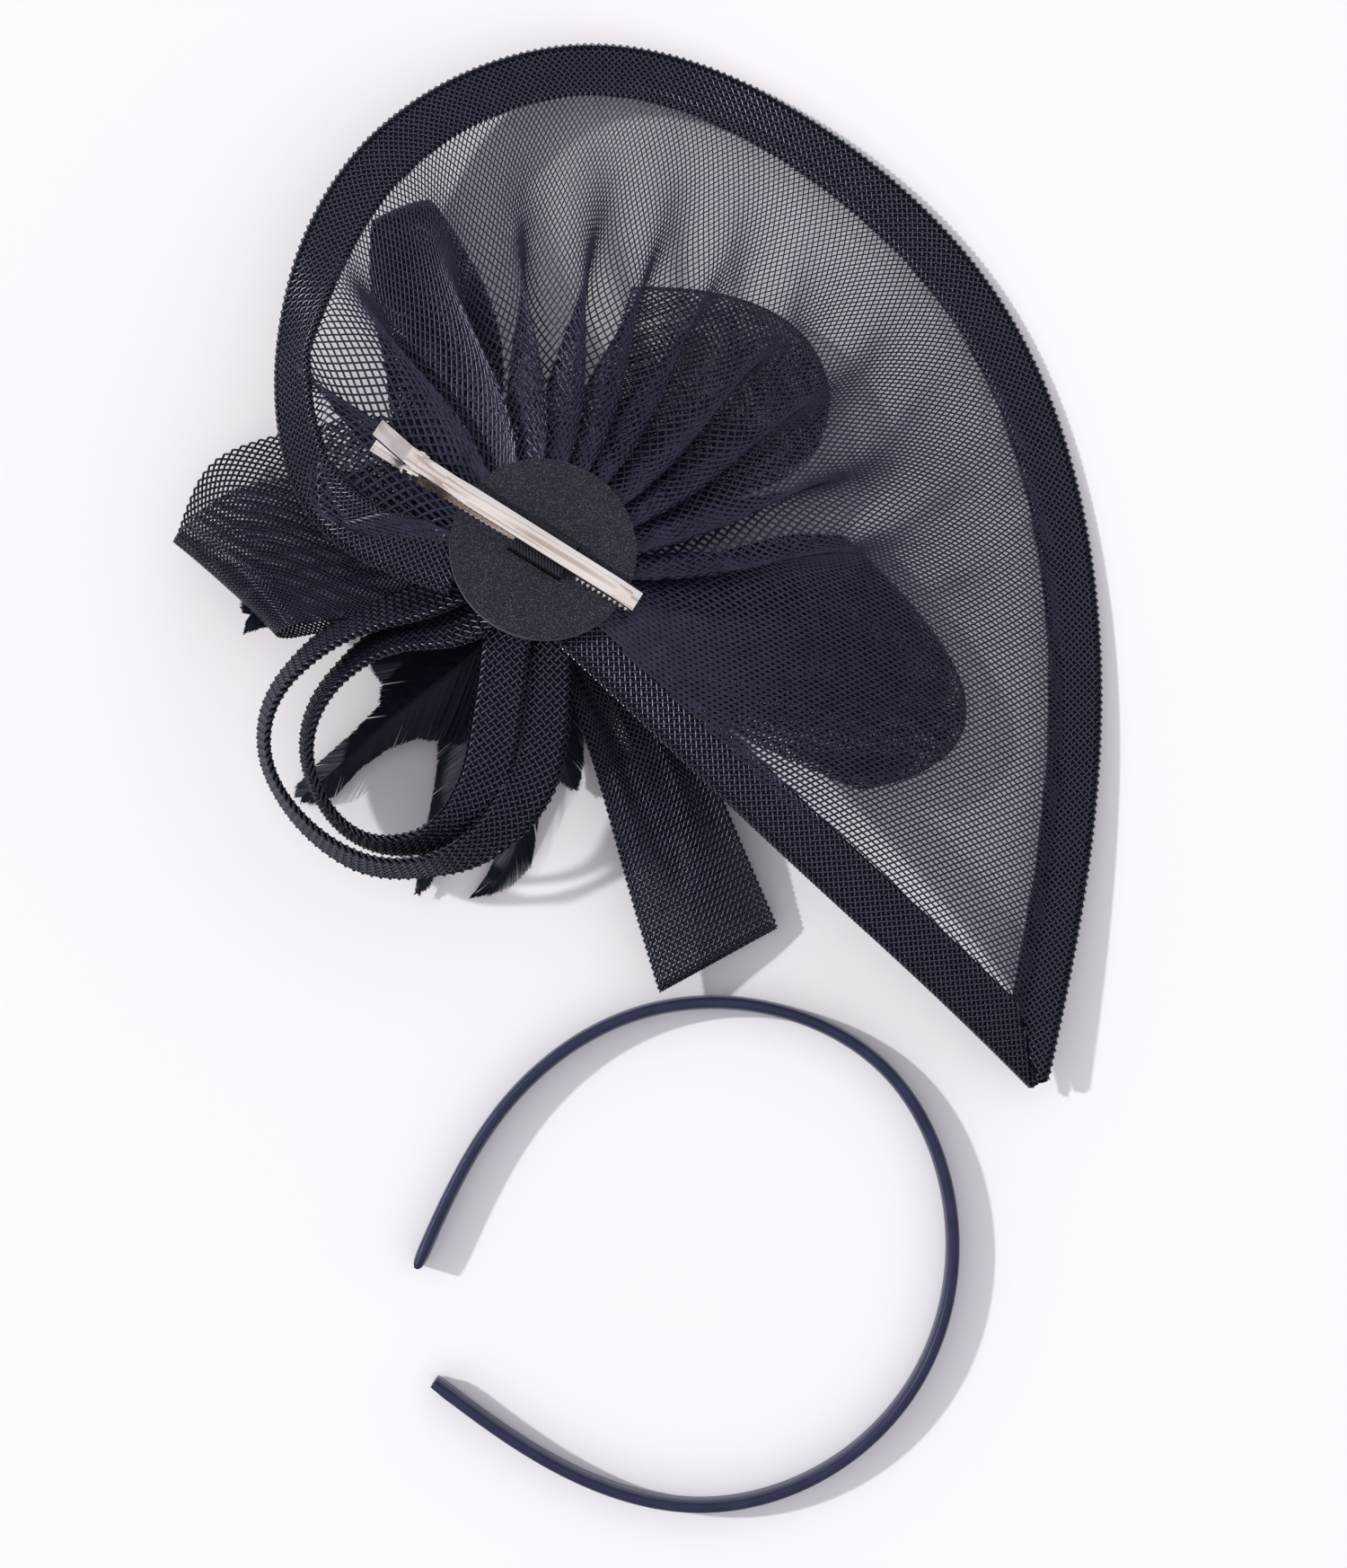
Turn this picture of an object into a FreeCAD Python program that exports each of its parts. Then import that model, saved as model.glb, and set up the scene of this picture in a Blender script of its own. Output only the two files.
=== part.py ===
import FreeCAD, Part
import math
import os

import Sketcher
from FreeCAD import Placement, Rotation, Vector

# A looped sinamay fascinator lying face down, with its felt pad and hair clip upwards, and the
# satin headband that goes with it lying beside it.  Millimetres.  The row frame has +Z up, the
# table at Z = 0 and the origin under the middle of the whole set.
#
# Everything sewn to the felt pad is drawn in the pad's own frame: X along the hair clip towards
# its tip, Y across it, Z out of the pad's free face, origin at the middle of that face.  The pad
# frame is then set down, turned and tilted by one placement.

SIZES = [
    ("pad_x", -23.0, "middle of the felt pad, along the row's X"),
    ("pad_y", 53.8, "middle of the felt pad, along the row's Y"),
    ("pad_height", 41.4, "middle of the felt pad above the table"),
    ("pad_tilt", 15.0, "lean of the pad about the clip, degrees"),
    ("clip_heading", -31.5, "direction of the clip in plan, degrees"),
    ("felt_radius", 22.5, "felt pad"),
    ("felt_thickness", 1.6, "felt pad"),
    ("slit_length", 14.6, "slits in the felt that the strap passes through"),
    ("slit_width", 1.2, "slits in the felt"),
    ("slit_offset", 4.4, "slit centre line from the clip's middle"),
    ("strap_width", 14.0, "strap over the lower jaw"),
    ("strap_thickness", 0.5, "strap over the lower jaw"),
    ("strap_rise", 2.2, "top of the strap above the felt"),
    ("jaw_tip", 26.0, "tip of the clip from the pad's middle"),
    ("handle_end", 47.4, "handle end of the clip from the pad's middle"),
    ("jaw_width", 5.8, "lower jaw, across its ears"),
    ("upper_width", 5.0, "upper jaw, which leaves the lower jaw's teeth showing"),
    ("lower_handle", 4.8, "lower handle"),
    ("handle_width", 4.4, "upper handle, which passes between the ears"),
    ("pivot_back", 36.0, "pivot pin behind the pad's middle"),
    ("pivot_rise", 4.2, "pivot pin above the felt"),
    ("pin_radius", 0.6, "pivot pin"),
    ("pin_play", 0.05, "radial play of the upper jaw on its pin"),
    ("lower_base", 0.3, "underside of the lower jaw above the felt"),
    ("plate", 0.8, "lower jaw's sheet metal"),
    ("tooth_pitch", 1.5, "serrated edges"),
    ("tooth_depth", 0.5, "serrated edges"),
    ("rib_width", 2.4, "pressed rib along the upper jaw"),
    ("rib_height", 0.85, "pressed rib along the upper jaw"),
    ("lip_height", 0.7, "turned-up edges of the two handles"),
    ("lip_thickness", 0.45, "turned-up edges of the two handles"),
    ("spring_room", 3.2, "gap between the upper jaw's ears"),
    ("spring_wire", 0.35, "torsion spring"),
    ("spring_radius", 1.1, "torsion spring, to the wire's centre"),
    ("leaf_level", -3.2, "top of the leaf below the felt's free face"),
    ("leaf_thickness", 0.8, "leaf cloth"),
    ("leaf_droop", 0.00128, "drop of the leaf per millimetre squared towards its tip"),
    ("tip_droop", 0.0014, "further drop per millimetre squared beyond tip_droop_from"),
    ("tip_droop_from", 118.0, "where the leaf's tip begins to drop further"),
    ("leaf_root", 8.0, "radius where the leaf's gathers end"),
    ("binding_width", 13.5, "folded bias strip on the leaf's edge"),
    ("binding_thickness", 1.8, "folded bias strip"),
    ("tuck", 4.0, "leaf cloth held inside the binding"),
    ("cloth", 0.9, "one layer of a cloth loop"),
    ("root_bulge", 1.3, "half thickness of a loop where it is sewn down"),
    ("tape_width", 12.0, "flat tape of the two open loops"),
    ("tape_thickness", 1.0, "flat tape"),
    ("tape_lean", 50.0, "lean of the tape from the plane of its loop, degrees"),
    ("vane_thickness", 0.7, "feathers"),
    ("stitch_radius", 2.0, "bundle of sewing thread through the roots"),
    ("stitch_top", -1.8, "top of the bundle"),
    ("knot_top", -24.0, "top of the knot on the ornament side"),
    ("knot_height", 16.6, "knot on the ornament side"),
    ("knot_radius", 9.5, "knot on the ornament side"),
    ("band_x", 16.0, "middle of the headband's ring, along the row's X"),
    ("band_y", -119.0, "middle of the headband's ring, along the row's Y"),
    ("band_height", 9.0, "satin headband, across its width"),
    ("band_thickness", 3.2, "satin headband, with its cover"),
    ("cover_thickness", 0.5, "satin cover"),
    ("core_inset", 3.0, "headband core short of the cover's tips"),
]

doc = FreeCAD.newDocument("Fascinator")
sheet = doc.addObject("Spreadsheet::Sheet", "Sizes")
for row, (name, value, note) in enumerate(SIZES, start=1):
    sheet.set(f"A{row}", name)
    sheet.set(f"B{row}", str(value))
    sheet.setAlias(f"B{row}", name)
    sheet.set(f"C{row}", note)
doc.recompute()


def size(name):
    """One driving dimension, read back from the sheet."""
    return float(getattr(sheet, name))


X_AXIS = Vector(1, 0, 0)
Y_AXIS = Vector(0, 1, 0)
Z_AXIS = Vector(0, 0, 1)

PAD = Placement(
    Vector(size("pad_x"), size("pad_y"), size("pad_height")),
    Rotation(Z_AXIS, size("clip_heading")) * Rotation(X_AXIS, -size("pad_tilt")),
)
BAND = Placement(Vector(size("band_x"), size("band_y"), 0), Rotation())

subparts = []


# ---------------------------------------------------------------- helpers


def origin_plane(body, role):
    """The named origin plane of a body."""
    return next(f for f in body.Origin.OriginFeatures if f.Role == role)


def new_body(label, placement):
    """A PartDesign body that becomes one sub-part."""
    body = doc.addObject("PartDesign::Body", label)
    body.Label = label
    body.Placement = placement
    subparts.append(body)
    return body


def new_sketch(body, name, role, offset=0.0):
    """A sketch on one of the body's own origin planes, moved along the plane's normal."""
    sketch = body.newObject("Sketcher::SketchObject", name)
    sketch.AttachmentSupport = [(origin_plane(body, role), "")]
    sketch.MapMode = "FlatFace"
    sketch.AttachmentOffset = Placement(Vector(0, 0, offset), Rotation())
    return sketch


def draw_polygon(sketch, points):
    """A closed chain of straight lines in a sketch."""
    corners = [Vector(x, y, 0) for x, y in points]
    first = sketch.GeometryCount
    count = len(corners)
    for k in range(count):
        sketch.addGeometry(Part.LineSegment(corners[k], corners[(k + 1) % count]), False)
    for k in range(count):
        after = first + (k + 1) % count
        sketch.addConstraint(Sketcher.Constraint("Coincident", first + k, 2, after, 1))


def draw_box(sketch, x0, x1, y0, y1):
    """A rectangle in a sketch."""
    draw_polygon(sketch, [(x0, y0), (x1, y0), (x1, y1), (x0, y1)])


def draw_circle(sketch, x, y, radius_cell):
    """A circle whose radius follows a cell or an expression of the sheet."""
    index = sketch.addGeometry(Part.Circle(Vector(x, y, 0), Z_AXIS, 1.0), False)
    constraint = sketch.addConstraint(Sketcher.Constraint("Radius", index, 1.0))
    sketch.setExpression(f"Constraints[{constraint}]", radius_cell)


def add_pad(body, sketch, name, length, midplane=False, reverse=False):
    """Pad a sketch by a length given as an expression of the sheet."""
    pad = body.newObject("PartDesign::Pad", name)
    pad.Profile = sketch
    pad.setExpression("Length", length)
    pad.Midplane = midplane
    pad.Reversed = reverse
    doc.recompute()
    return pad


def add_pocket(body, sketch, name):
    """Cut a sketch right through the body, both ways, and check that it cuts."""
    before = body.Shape.Volume
    pocket = body.newObject("PartDesign::Pocket", name)
    pocket.Profile = sketch
    pocket.Type = "ThroughAll"
    pocket.Midplane = True
    doc.recompute()
    if body.Shape.Volume >= before - 1e-6:
        raise RuntimeError(f"{body.Label}: {name} cuts nothing")
    return pocket


def add_solid(label, shape, placement):
    """A sub-part whose shape comes from Part's own functions."""
    solids = shape.Solids
    if len(solids) != 1:
        raise RuntimeError(f"{label} has {len(solids)} solids")
    feature = doc.addObject("Part::Feature", label)
    feature.Label = label
    feature.Shape = solids[0]
    feature.Placement = placement
    subparts.append(feature)
    return feature


def closed_outline(points):
    """A straight-sided closed wire in the XY plane."""
    corners = [Vector(x, y, 0) for x, y in points]
    return Part.makePolygon(corners + corners[:1])


def smooth_outline(points):
    """A closed curved wire in the XY plane through the points."""
    curve = Part.BSplineCurve()
    curve.interpolate([Vector(x, y, 0) for x, y in points], PeriodicFlag=True)
    return Part.Wire(curve.toShape())


def skin_solid(rows, thickness):
    """A cloth skin: a smooth surface through rows of points, thickened downwards."""
    surface = Part.BSplineSurface()
    surface.interpolate(rows)
    return surface.toShape().extrude(Vector(0, 0, -thickness))


def tangent_pair(x0, radius0, x1, radius1):
    """The outline round two circles on the X axis, drawn in the XZ plane."""
    slope = math.asin((radius1 - radius0) / (x1 - x0))
    up = math.cos(slope)
    back = math.sin(slope)
    near_top = Vector(x0 - radius0 * back, 0, radius0 * up)
    near_low = Vector(x0 - radius0 * back, 0, -radius0 * up)
    far_top = Vector(x1 - radius1 * back, 0, radius1 * up)
    far_low = Vector(x1 - radius1 * back, 0, -radius1 * up)
    edges = [
        Part.LineSegment(near_top, far_top).toShape(),
        Part.Arc(far_top, Vector(x1 + radius1, 0, 0), far_low).toShape(),
        Part.LineSegment(far_low, near_low).toShape(),
        Part.Arc(near_low, Vector(x0 - radius0, 0, 0), near_top).toShape(),
    ]
    return Part.Face(Part.Wire(edges))


# ---------------------------------------------------------------- felt pad and strap


def make_felt_base():
    """Round felt pad with two slits beside the clip."""
    body = new_body("felt_base", PAD)
    disc = new_sketch(body, "felt_outline", "XY_Plane")
    draw_circle(disc, 0, 0, "Sizes.felt_radius")
    add_pad(body, disc, "felt_pad", "Sizes.felt_thickness", reverse=True)
    slits = new_sketch(body, "felt_slits", "XY_Plane")
    half_length = size("slit_length") / 2
    for side in (-1, 1):
        middle = side * size("slit_offset")
        half_width = size("slit_width") / 2
        draw_box(slits, -half_length, half_length, middle - half_width, middle + half_width)
    add_pocket(body, slits, "felt_slit_cut")


def make_strap():
    """Bridge of cloth that comes up through one slit, over the lower jaw and down the other."""
    body = new_body("fabric_strap", PAD)
    outer = size("slit_offset") + size("strap_thickness") / 2
    inner = outer - size("strap_thickness")
    top = size("strap_rise")
    under = top - size("strap_thickness")
    foot = -size("felt_thickness")
    profile = new_sketch(body, "strap_profile", "YZ_Plane")
    draw_polygon(
        profile,
        [
            (-outer, foot),
            (-inner, foot),
            (-inner, under),
            (inner, under),
            (inner, foot),
            (outer, foot),
            (outer, top),
            (-outer, top),
        ],
    )
    add_pad(body, profile, "strap_pad", "Sizes.strap_width", midplane=True)


# ---------------------------------------------------------------- hair clip


def toothed_edge(x_from, x_to, base, depth, pitch):
    """Saw-tooth points from x_from to x_to, standing out from base by depth."""
    count = round(abs(x_to - x_from) / pitch)
    step = (x_to - x_from) / count
    points = []
    for k in range(count):
        points.append((x_from + k * step, base))
        points.append((x_from + (k + 0.5) * step, base + depth))
    points.append((x_to, base))
    return points


def band_above(line, rise):
    """The outline between a line and the same line raised."""
    return line + [(x, z + rise) for x, z in reversed(line)]


def add_side_feature(body, kind, name, outline, width):
    """A pad or pocket of a side view, equally to both sides of the middle."""
    view = new_sketch(body, f"{name}_view", "XZ_Plane")
    draw_polygon(view, outline)
    feature = body.newObject(f"PartDesign::{kind}", name)
    feature.Profile = view
    feature.setExpression("Length", width)
    feature.Midplane = True
    doc.recompute()
    return feature


EAR_HALF_LENGTH = 2.0
EAR_THICKNESS = 0.55
EAR_ABOVE_PIN = 1.2
TOOTH_START = -30.0
TIP_CHAMFER = (1.0, 1.4)
HANDLE_STEP = 1.0


def make_lower_jaw():
    """Flat lower jaw: serrated blade, plain handle and two ears that carry the pin."""
    body = new_body("clip_lower_jaw", PAD)
    half = size("jaw_width") / 2
    depth = size("tooth_depth")
    pitch = size("tooth_pitch")
    tip = size("jaw_tip")
    end = -size("handle_end")
    chamfer, cut = TIP_CHAMFER
    upper = toothed_edge(TOOTH_START, tip - chamfer, half - depth, depth, pitch)
    lower = [(x, -y) for x, y in reversed(upper)]
    pivot = -size("pivot_back")
    behind = pivot - EAR_HALF_LENGTH
    neck = behind - HANDLE_STEP
    handle = size("lower_handle") / 2
    outline = [(end, handle), (neck, handle), (behind, half), (TOOTH_START, half)]
    outline += upper + [(tip, half - cut), (tip, cut - half)] + lower
    outline += [(TOOTH_START, -half), (behind, -half), (neck, -handle)]
    outline += [(end, -handle)]
    plan = new_sketch(body, "lower_plan", "XY_Plane", size("lower_base"))
    draw_polygon(plan, outline)
    add_pad(body, plan, "lower_plate", "Sizes.plate")

    foot = size("lower_base")
    ears = new_sketch(body, "lower_ears", "XY_Plane", foot)
    for side in (-1, 1):
        inside = side * (half - EAR_THICKNESS)
        outside = side * half
        low, high = sorted((inside, outside))
        draw_box(ears, pivot - EAR_HALF_LENGTH, pivot + EAR_HALF_LENGTH, low, high)
    add_pad(body, ears, "ear_pads", f"Sizes.pivot_rise - Sizes.lower_base + {EAR_ABOVE_PIN}")

    face = foot + size("plate")
    lips = band_above([(end, face), (neck, face)], size("lip_height"))
    add_side_feature(body, "Pad", "lower_lips", lips, "Sizes.lower_handle")
    trough = band_above([(end + size("lip_thickness"), face), (behind, face)], size("lip_height"))
    between_lips = "Sizes.lower_handle - 2 * Sizes.lip_thickness"
    add_side_feature(body, "Pocket", "lower_trough", trough, between_lips)

    bore = new_sketch(body, "ear_bore", "XZ_Plane")
    draw_circle(bore, pivot, size("pivot_rise"), "Sizes.pin_radius")
    add_pocket(body, bore, "ear_bore_cut")


# How far a cut runs past what it cuts.
CUT_PAST = 1.0
UPPER_PLATE = 0.6
UPPER_SPINE = [(26.0, 2.3), (20.0, 3.1), (-21.0, 4.6), (-33.0, 5.9), (-38.0, 6.3), (-47.4, 12.2)]
RIB_LINE = [(24.0, 3.0), (20.0, 3.4), (-21.0, 4.9), (-28.0, 5.7)]
HANDLE_LIPS = [(-47.4, 12.8), (-38.6, 7.25), (-35.4, 6.6)]
TOOTHED_NOSE = (25.0, 10.0)
NOSE_TOP = [(10.0, 3.6), (20.0, 3.25), (25.0, 2.6)]
HANDLE_SHOULDER = (-21.0, -26.0)
NOSE_CLEARANCE = 0.1
NOSE_WALL = 0.6
EAR_REACH = 1.4
EAR_FOOT = 1.1
EAR_HEAD = 6.3
ROOM_HEAD = 5.75


def make_upper_jaw():
    """Upper jaw: ribbed sheet-metal spine, toothed nose, two inner ears and a raised handle."""
    body = new_body("clip_upper_jaw", PAD)
    half = size("upper_width") / 2
    spine = band_above(UPPER_SPINE, UPPER_PLATE)
    add_side_feature(body, "Pad", "spine_pad", spine, "Sizes.upper_width")

    notches = new_sketch(body, "handle_notches", "XY_Plane")
    narrow = size("handle_width") / 2
    wide_at, narrow_at = HANDLE_SHOULDER
    past_end = -size("handle_end") - CUT_PAST
    for side in (-1, 1):
        inner = side * narrow
        outer = side * (half + CUT_PAST)
        corners = [
            (past_end, inner),
            (narrow_at, inner),
            (wide_at, side * half),
            (wide_at, outer),
            (past_end, outer),
        ]
        draw_polygon(notches, corners)
    add_pocket(body, notches, "handle_notch_cut")

    start, stop = TOOTHED_NOSE
    nose_foot = size("lower_base") + size("plate") + NOSE_CLEARANCE
    depth = size("tooth_depth")
    teeth = toothed_edge(start, stop, nose_foot + depth, -depth, size("tooth_pitch"))
    add_side_feature(body, "Pad", "nose_flange_pad", teeth + NOSE_TOP, "Sizes.upper_width")
    hollow = new_sketch(body, "nose_hollow", "YZ_Plane")
    draw_box(hollow, NOSE_WALL - half, half - NOSE_WALL, 0.0, UPPER_SPINE[0][1])
    add_pocket(body, hollow, "nose_hollow_cut")

    rib = band_above(RIB_LINE, size("rib_height"))
    add_side_feature(body, "Pad", "rib_pad", rib, "Sizes.rib_width")

    lips = band_above(HANDLE_LIPS, size("lip_height"))
    add_side_feature(body, "Pad", "lip_pad", lips, "Sizes.handle_width")
    (end, foot), (bend, waist), front = HANDLE_LIPS
    steep = (waist - foot) / (bend - end)
    inset = size("lip_thickness")
    trough = [(end + inset, foot + inset * steep), (bend, waist), (front[0] + CUT_PAST, front[1])]
    trough = band_above(trough, 2 * size("lip_height"))
    between_lips = "Sizes.handle_width - 2 * Sizes.lip_thickness"
    add_side_feature(body, "Pocket", "lip_trough", trough, between_lips)

    pivot = -size("pivot_back")
    low = size("pivot_rise") - EAR_FOOT
    ears = [
        (pivot - EAR_REACH, low),
        (pivot + EAR_REACH, low),
        (pivot + EAR_REACH, EAR_HEAD),
        (pivot - EAR_REACH, EAR_HEAD),
    ]
    add_side_feature(body, "Pad", "inner_ear_pad", ears, "Sizes.handle_width")
    room = [(x, min(z, ROOM_HEAD) if z > low else 0.0) for x, z in ears]
    add_side_feature(body, "Pocket", "spring_room_cut", room, "Sizes.spring_room")

    bore = new_sketch(body, "upper_bore", "XZ_Plane")
    draw_circle(bore, pivot, size("pivot_rise"), "Sizes.pin_radius + Sizes.pin_play")
    add_pocket(body, bore, "upper_bore_cut")


PIN_HEAD = 0.35


def make_pivot_pin():
    """Rivet through the four ears, with a flat head outside each lower ear."""
    half = size("jaw_width") / 2
    pieces = []
    for name, radius, length, start in (
        ("pin_shank", "Sizes.pin_radius", 2 * half, -half),
        ("pin_head_near", "Sizes.pin_radius * 1.7", PIN_HEAD, -half - PIN_HEAD),
        ("pin_head_far", "Sizes.pin_radius * 1.7", PIN_HEAD, half),
    ):
        cylinder = doc.addObject("Part::Cylinder", name)
        cylinder.setExpression("Radius", radius)
        cylinder.Height = length
        cylinder.Placement = Placement(
            Vector(-size("pivot_back"), start, size("pivot_rise")), Rotation(X_AXIS, -90)
        )
        pieces.append(cylinder)
    pin = doc.addObject("Part::MultiFuse", "clip_pivot_pin")
    pin.Label = "clip_pivot_pin"
    pin.Shapes = pieces
    pin.Placement = PAD
    subparts.append(pin)


SPRING_TURNS = 3
SPRING_LEG = 6.0
LEG_TURN = -72.0


def make_spring():
    """Three turns of wire round the pin, with a leg lying along the lower handle."""
    wire = size("spring_wire")
    radius = size("spring_radius")
    pitch = wire * 1.5
    turns = SPRING_TURNS
    helix = Part.makeHelix(pitch, pitch * turns, radius)
    section = Part.Wire(Part.Circle(Vector(radius, 0, 0), Vector(0, 1, 0), wire / 2).toShape())
    coil = Part.Wire(helix.Edges).makePipeShell([section], True, True)
    leg = Part.makeCylinder(wire / 2, SPRING_LEG, Vector(radius, 0, 0), Vector(0, -1, 0))
    spring = coil.fuse(leg)
    lay = Placement(
        Vector(-size("pivot_back"), pitch * turns / 2, size("pivot_rise")),
        Rotation(X_AXIS, 90),
    )
    turn = Placement(Vector(), Rotation(Z_AXIS, LEG_TURN))
    spring.Placement = lay.multiply(turn)
    add_solid("clip_spring", spring.copy(), PAD)
    subparts[-1].Shape = spring.transformed(PAD.toMatrix(), True)


# ---------------------------------------------------------------- leaf and its binding

# The rim in the pad frame, anticlockwise from the pointed tip round to where it tucks under the
# pad, and the nearly straight lower edge from the pad to the tip.
RIM = [
    (175, -40),
    (153, 18),
    (105, 90),
    (65, 119),
    (15, 132),
    (-58, 119),
    (-91, 66),
    (-80, 9),
    (-45, -23),
    (-13, -21),
]
LOWER_EDGE = [(8, -16), (90, -30.5), (175, -40)]


def plan_curve(points):
    """A smooth curve in plan through the points."""
    curve = Part.BSplineCurve()
    curve.interpolate([Vector(x, y, 0) for x, y in points])
    return curve


def drape(point, lift=0.0):
    """A plan point lifted onto the leaf, which droops towards its tip."""
    drop = size("leaf_droop") * max(point.x, 0.0) ** 2
    drop += size("tip_droop") * max(point.x - size("tip_droop_from"), 0.0) ** 2
    return Vector(point.x, point.y, size("leaf_level") - drop + lift)


def beside(curve, share, distance):
    """The point at a share of the curve's length, moved to the left of its direction."""
    parameter = curve.FirstParameter + share * (curve.LastParameter - curve.FirstParameter)
    along = curve.tangent(parameter)[0]
    return curve.value(parameter) + Vector(-along.y, along.x, 0) * distance


def binding_solid(curve, side, stations):
    """A strip as wide as the binding beside a plan curve, lying over the leaf's edge."""
    across = 4
    rows = []
    for k in range(stations):
        share = k / (stations - 1)
        row = []
        for j in range(across):
            distance = side * size("binding_width") * j / (across - 1)
            lift = (size("binding_thickness") - size("leaf_thickness")) / 2
            row.append(drape(beside(curve, share, distance), lift))
        rows.append(row)
    return skin_solid(rows, size("binding_thickness"))


def side_block(corner, along, side, back, ahead):
    """A block on one side of the line in plan that runs from corner along a direction."""
    angle = math.degrees(math.atan2(along.y, along.x))
    deep = 40.0
    low = 0.0 if side > 0 else -deep
    block = Part.makeBox(back + ahead, deep, 200, Vector(-back, low, -150))
    block.Placement = Placement(Vector(corner.x, corner.y, 0), Rotation(Z_AXIS, angle))
    return block


def make_leaf():
    """The single layer of open mesh, and the folded strips that bind its rim and lower edge."""
    rim = plan_curve(RIM)
    edge = plan_curve(LOWER_EDGE)
    width = size("binding_width")
    hold = size("tuck")
    stations = 34
    spokes = 7
    rows = []
    for k in range(stations):
        share = k / (stations - 1)
        outer = beside(rim, share, width - hold)
        angle = math.radians(-38.0 + share * 275.0)
        root = Vector(math.cos(angle), math.sin(angle), 0) * size("leaf_root")
        row = [drape(root + (outer - root) * (j / (spokes - 1))) for j in range(spokes)]
        rows.append(row)
    leaf = skin_solid(rows, size("leaf_thickness"))

    tip = rim.value(rim.FirstParameter)
    edge_end = edge.tangent(edge.LastParameter)[0]
    rim_start = rim.tangent(rim.FirstParameter)[0]
    start = edge.value(edge.FirstParameter)
    chord = (tip - start).normalize()
    held = start + Vector(-chord.y, chord.x, 0) * (width - hold)
    leaf = leaf.cut(side_block(held, chord, -1, 0, 200))

    mitre = (rim_start - edge_end).normalize()
    rim_strip = binding_solid(rim, 1, 34).cut(side_block(tip, mitre, 1, 5, 40))
    edge_strip = binding_solid(edge, 1, 16).cut(side_block(tip, mitre, -1, 5, 40))
    add_solid("leaf_mesh", leaf, PAD)
    add_solid("rim_binding", rim_strip.cut(leaf), PAD)
    add_solid("lower_binding", edge_strip.cut(leaf), PAD)


# ---------------------------------------------------------------- cloth loops

# Each loop is a band folded back on itself at its far end and gathered at the pad's middle.
# heading and pitch are in degrees, reach, level and bulge in millimetres, and the outline is the
# loop seen from the clip's side, in the pad frame.
LOOPS = {
    "top_left_loop": dict(
        heading=140,
        reach=92.5,
        level=-7.0,
        pitch=1.5,
        bulge=3.6,
        outline=[(-3, 2), (-48, 10), (-66, 30), (-79, 50), (-69, 61), (-41, 46), (-5, 7)],
    ),
    "round_loop": dict(
        heading=68,
        reach=91.0,
        level=-10.5,
        pitch=1.6,
        bulge=5.0,
        outline=[
            (-3, 4),
            (-16, 72),
            (-4, 82),
            (10, 89),
            (31, 85),
            (42, 69),
            (42, 59),
            (30, 40),
            (6, 4),
        ],
    ),
    "right_loop": dict(
        heading=13,
        reach=113.0,
        level=-13.5,
        pitch=6.6,
        bulge=5.2,
        outline=[
            (4, 3),
            (21, 12),
            (47, 38),
            (61, 48),
            (84, 46),
            (105, 39),
            (111, 30),
            (97, 1),
            (78, -4),
            (28, -1),
            (4, -1),
        ],
    ),
    "tail_loop": dict(
        heading=-30.5,
        reach=102.5,
        level=-17.0,
        pitch=17.0,
        bulge=2.2,
        outline=[(4, -5), (15, -16), (47, -40), (80, -66), (97, -37), (72, -23), (9, -2)],
    ),
    "left_loop": dict(
        heading=196,
        reach=88.0,
        level=-20.0,
        pitch=8.0,
        bulge=8.0,
        outline=[
            (-4, 1),
            (-50, 14),
            (-78, -9),
            (-83, -20),
            (-82, -36),
            (-62, -37),
            (-46, -41),
            (-5, -5),
        ],
    ),
}
CLEAR_OF_STITCHES = 0.4


def make_loop(label, heading, reach, level, pitch, bulge, outline):
    """One folded band: a drop-shaped ring drawn from the side, cut to its outline in plan."""
    skin = size("cloth")
    near = size("root_bulge")
    ring = tangent_pair(near, near, reach - bulge, bulge)
    inside = tangent_pair(near, near - skin, reach - bulge, bulge - skin)
    wide = 160.0
    band = ring.cut(inside).extrude(Vector(0, wide, 0))
    band.translate(Vector(0, -wide / 2, 0))
    band.rotate(Vector(), Y_AXIS, pitch)
    band.rotate(Vector(), Z_AXIS, heading)
    band.translate(Vector(0, 0, level))
    tall = 120.0
    prism = Part.Face(closed_outline(outline)).extrude(Vector(0, 0, tall))
    prism.translate(Vector(0, 0, 20 - tall))
    room = Part.makeCylinder(size("stitch_radius") + CLEAR_OF_STITCHES, tall)
    room.translate(Vector(0, 0, 20 - tall))
    add_solid(label, band.common(prism).cut(room), PAD)


# ---------------------------------------------------------------- open tape loops

# Both tapes leave the pad, run round a circle and come back, in one plane that drops away from
# the pad.  The numbers are in that plane, from a point on the pad's lower side.
TAPE_PLANE = Placement(Vector(0, -20, -11), Rotation(X_AXIS, 24))
TAPES = {
    "outer_tape_loop": dict(centre=(-11, -39), radius=26.0, away=(-16, 0), back=(10, 0)),
    "inner_tape_loop": dict(centre=(-7.5, -39), radius=20.5, away=(-7, 0), back=(6, 0)),
}


def tangent_point(outside, centre, radius, side):
    """Where a line from an outside point touches a circle, on the given side."""
    to_centre = centre - outside
    swing = math.acos(radius / to_centre.Length)
    angle = math.atan2(-to_centre.y, -to_centre.x) + side * swing
    return centre + Vector(math.cos(angle), math.sin(angle), 0) * radius


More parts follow.
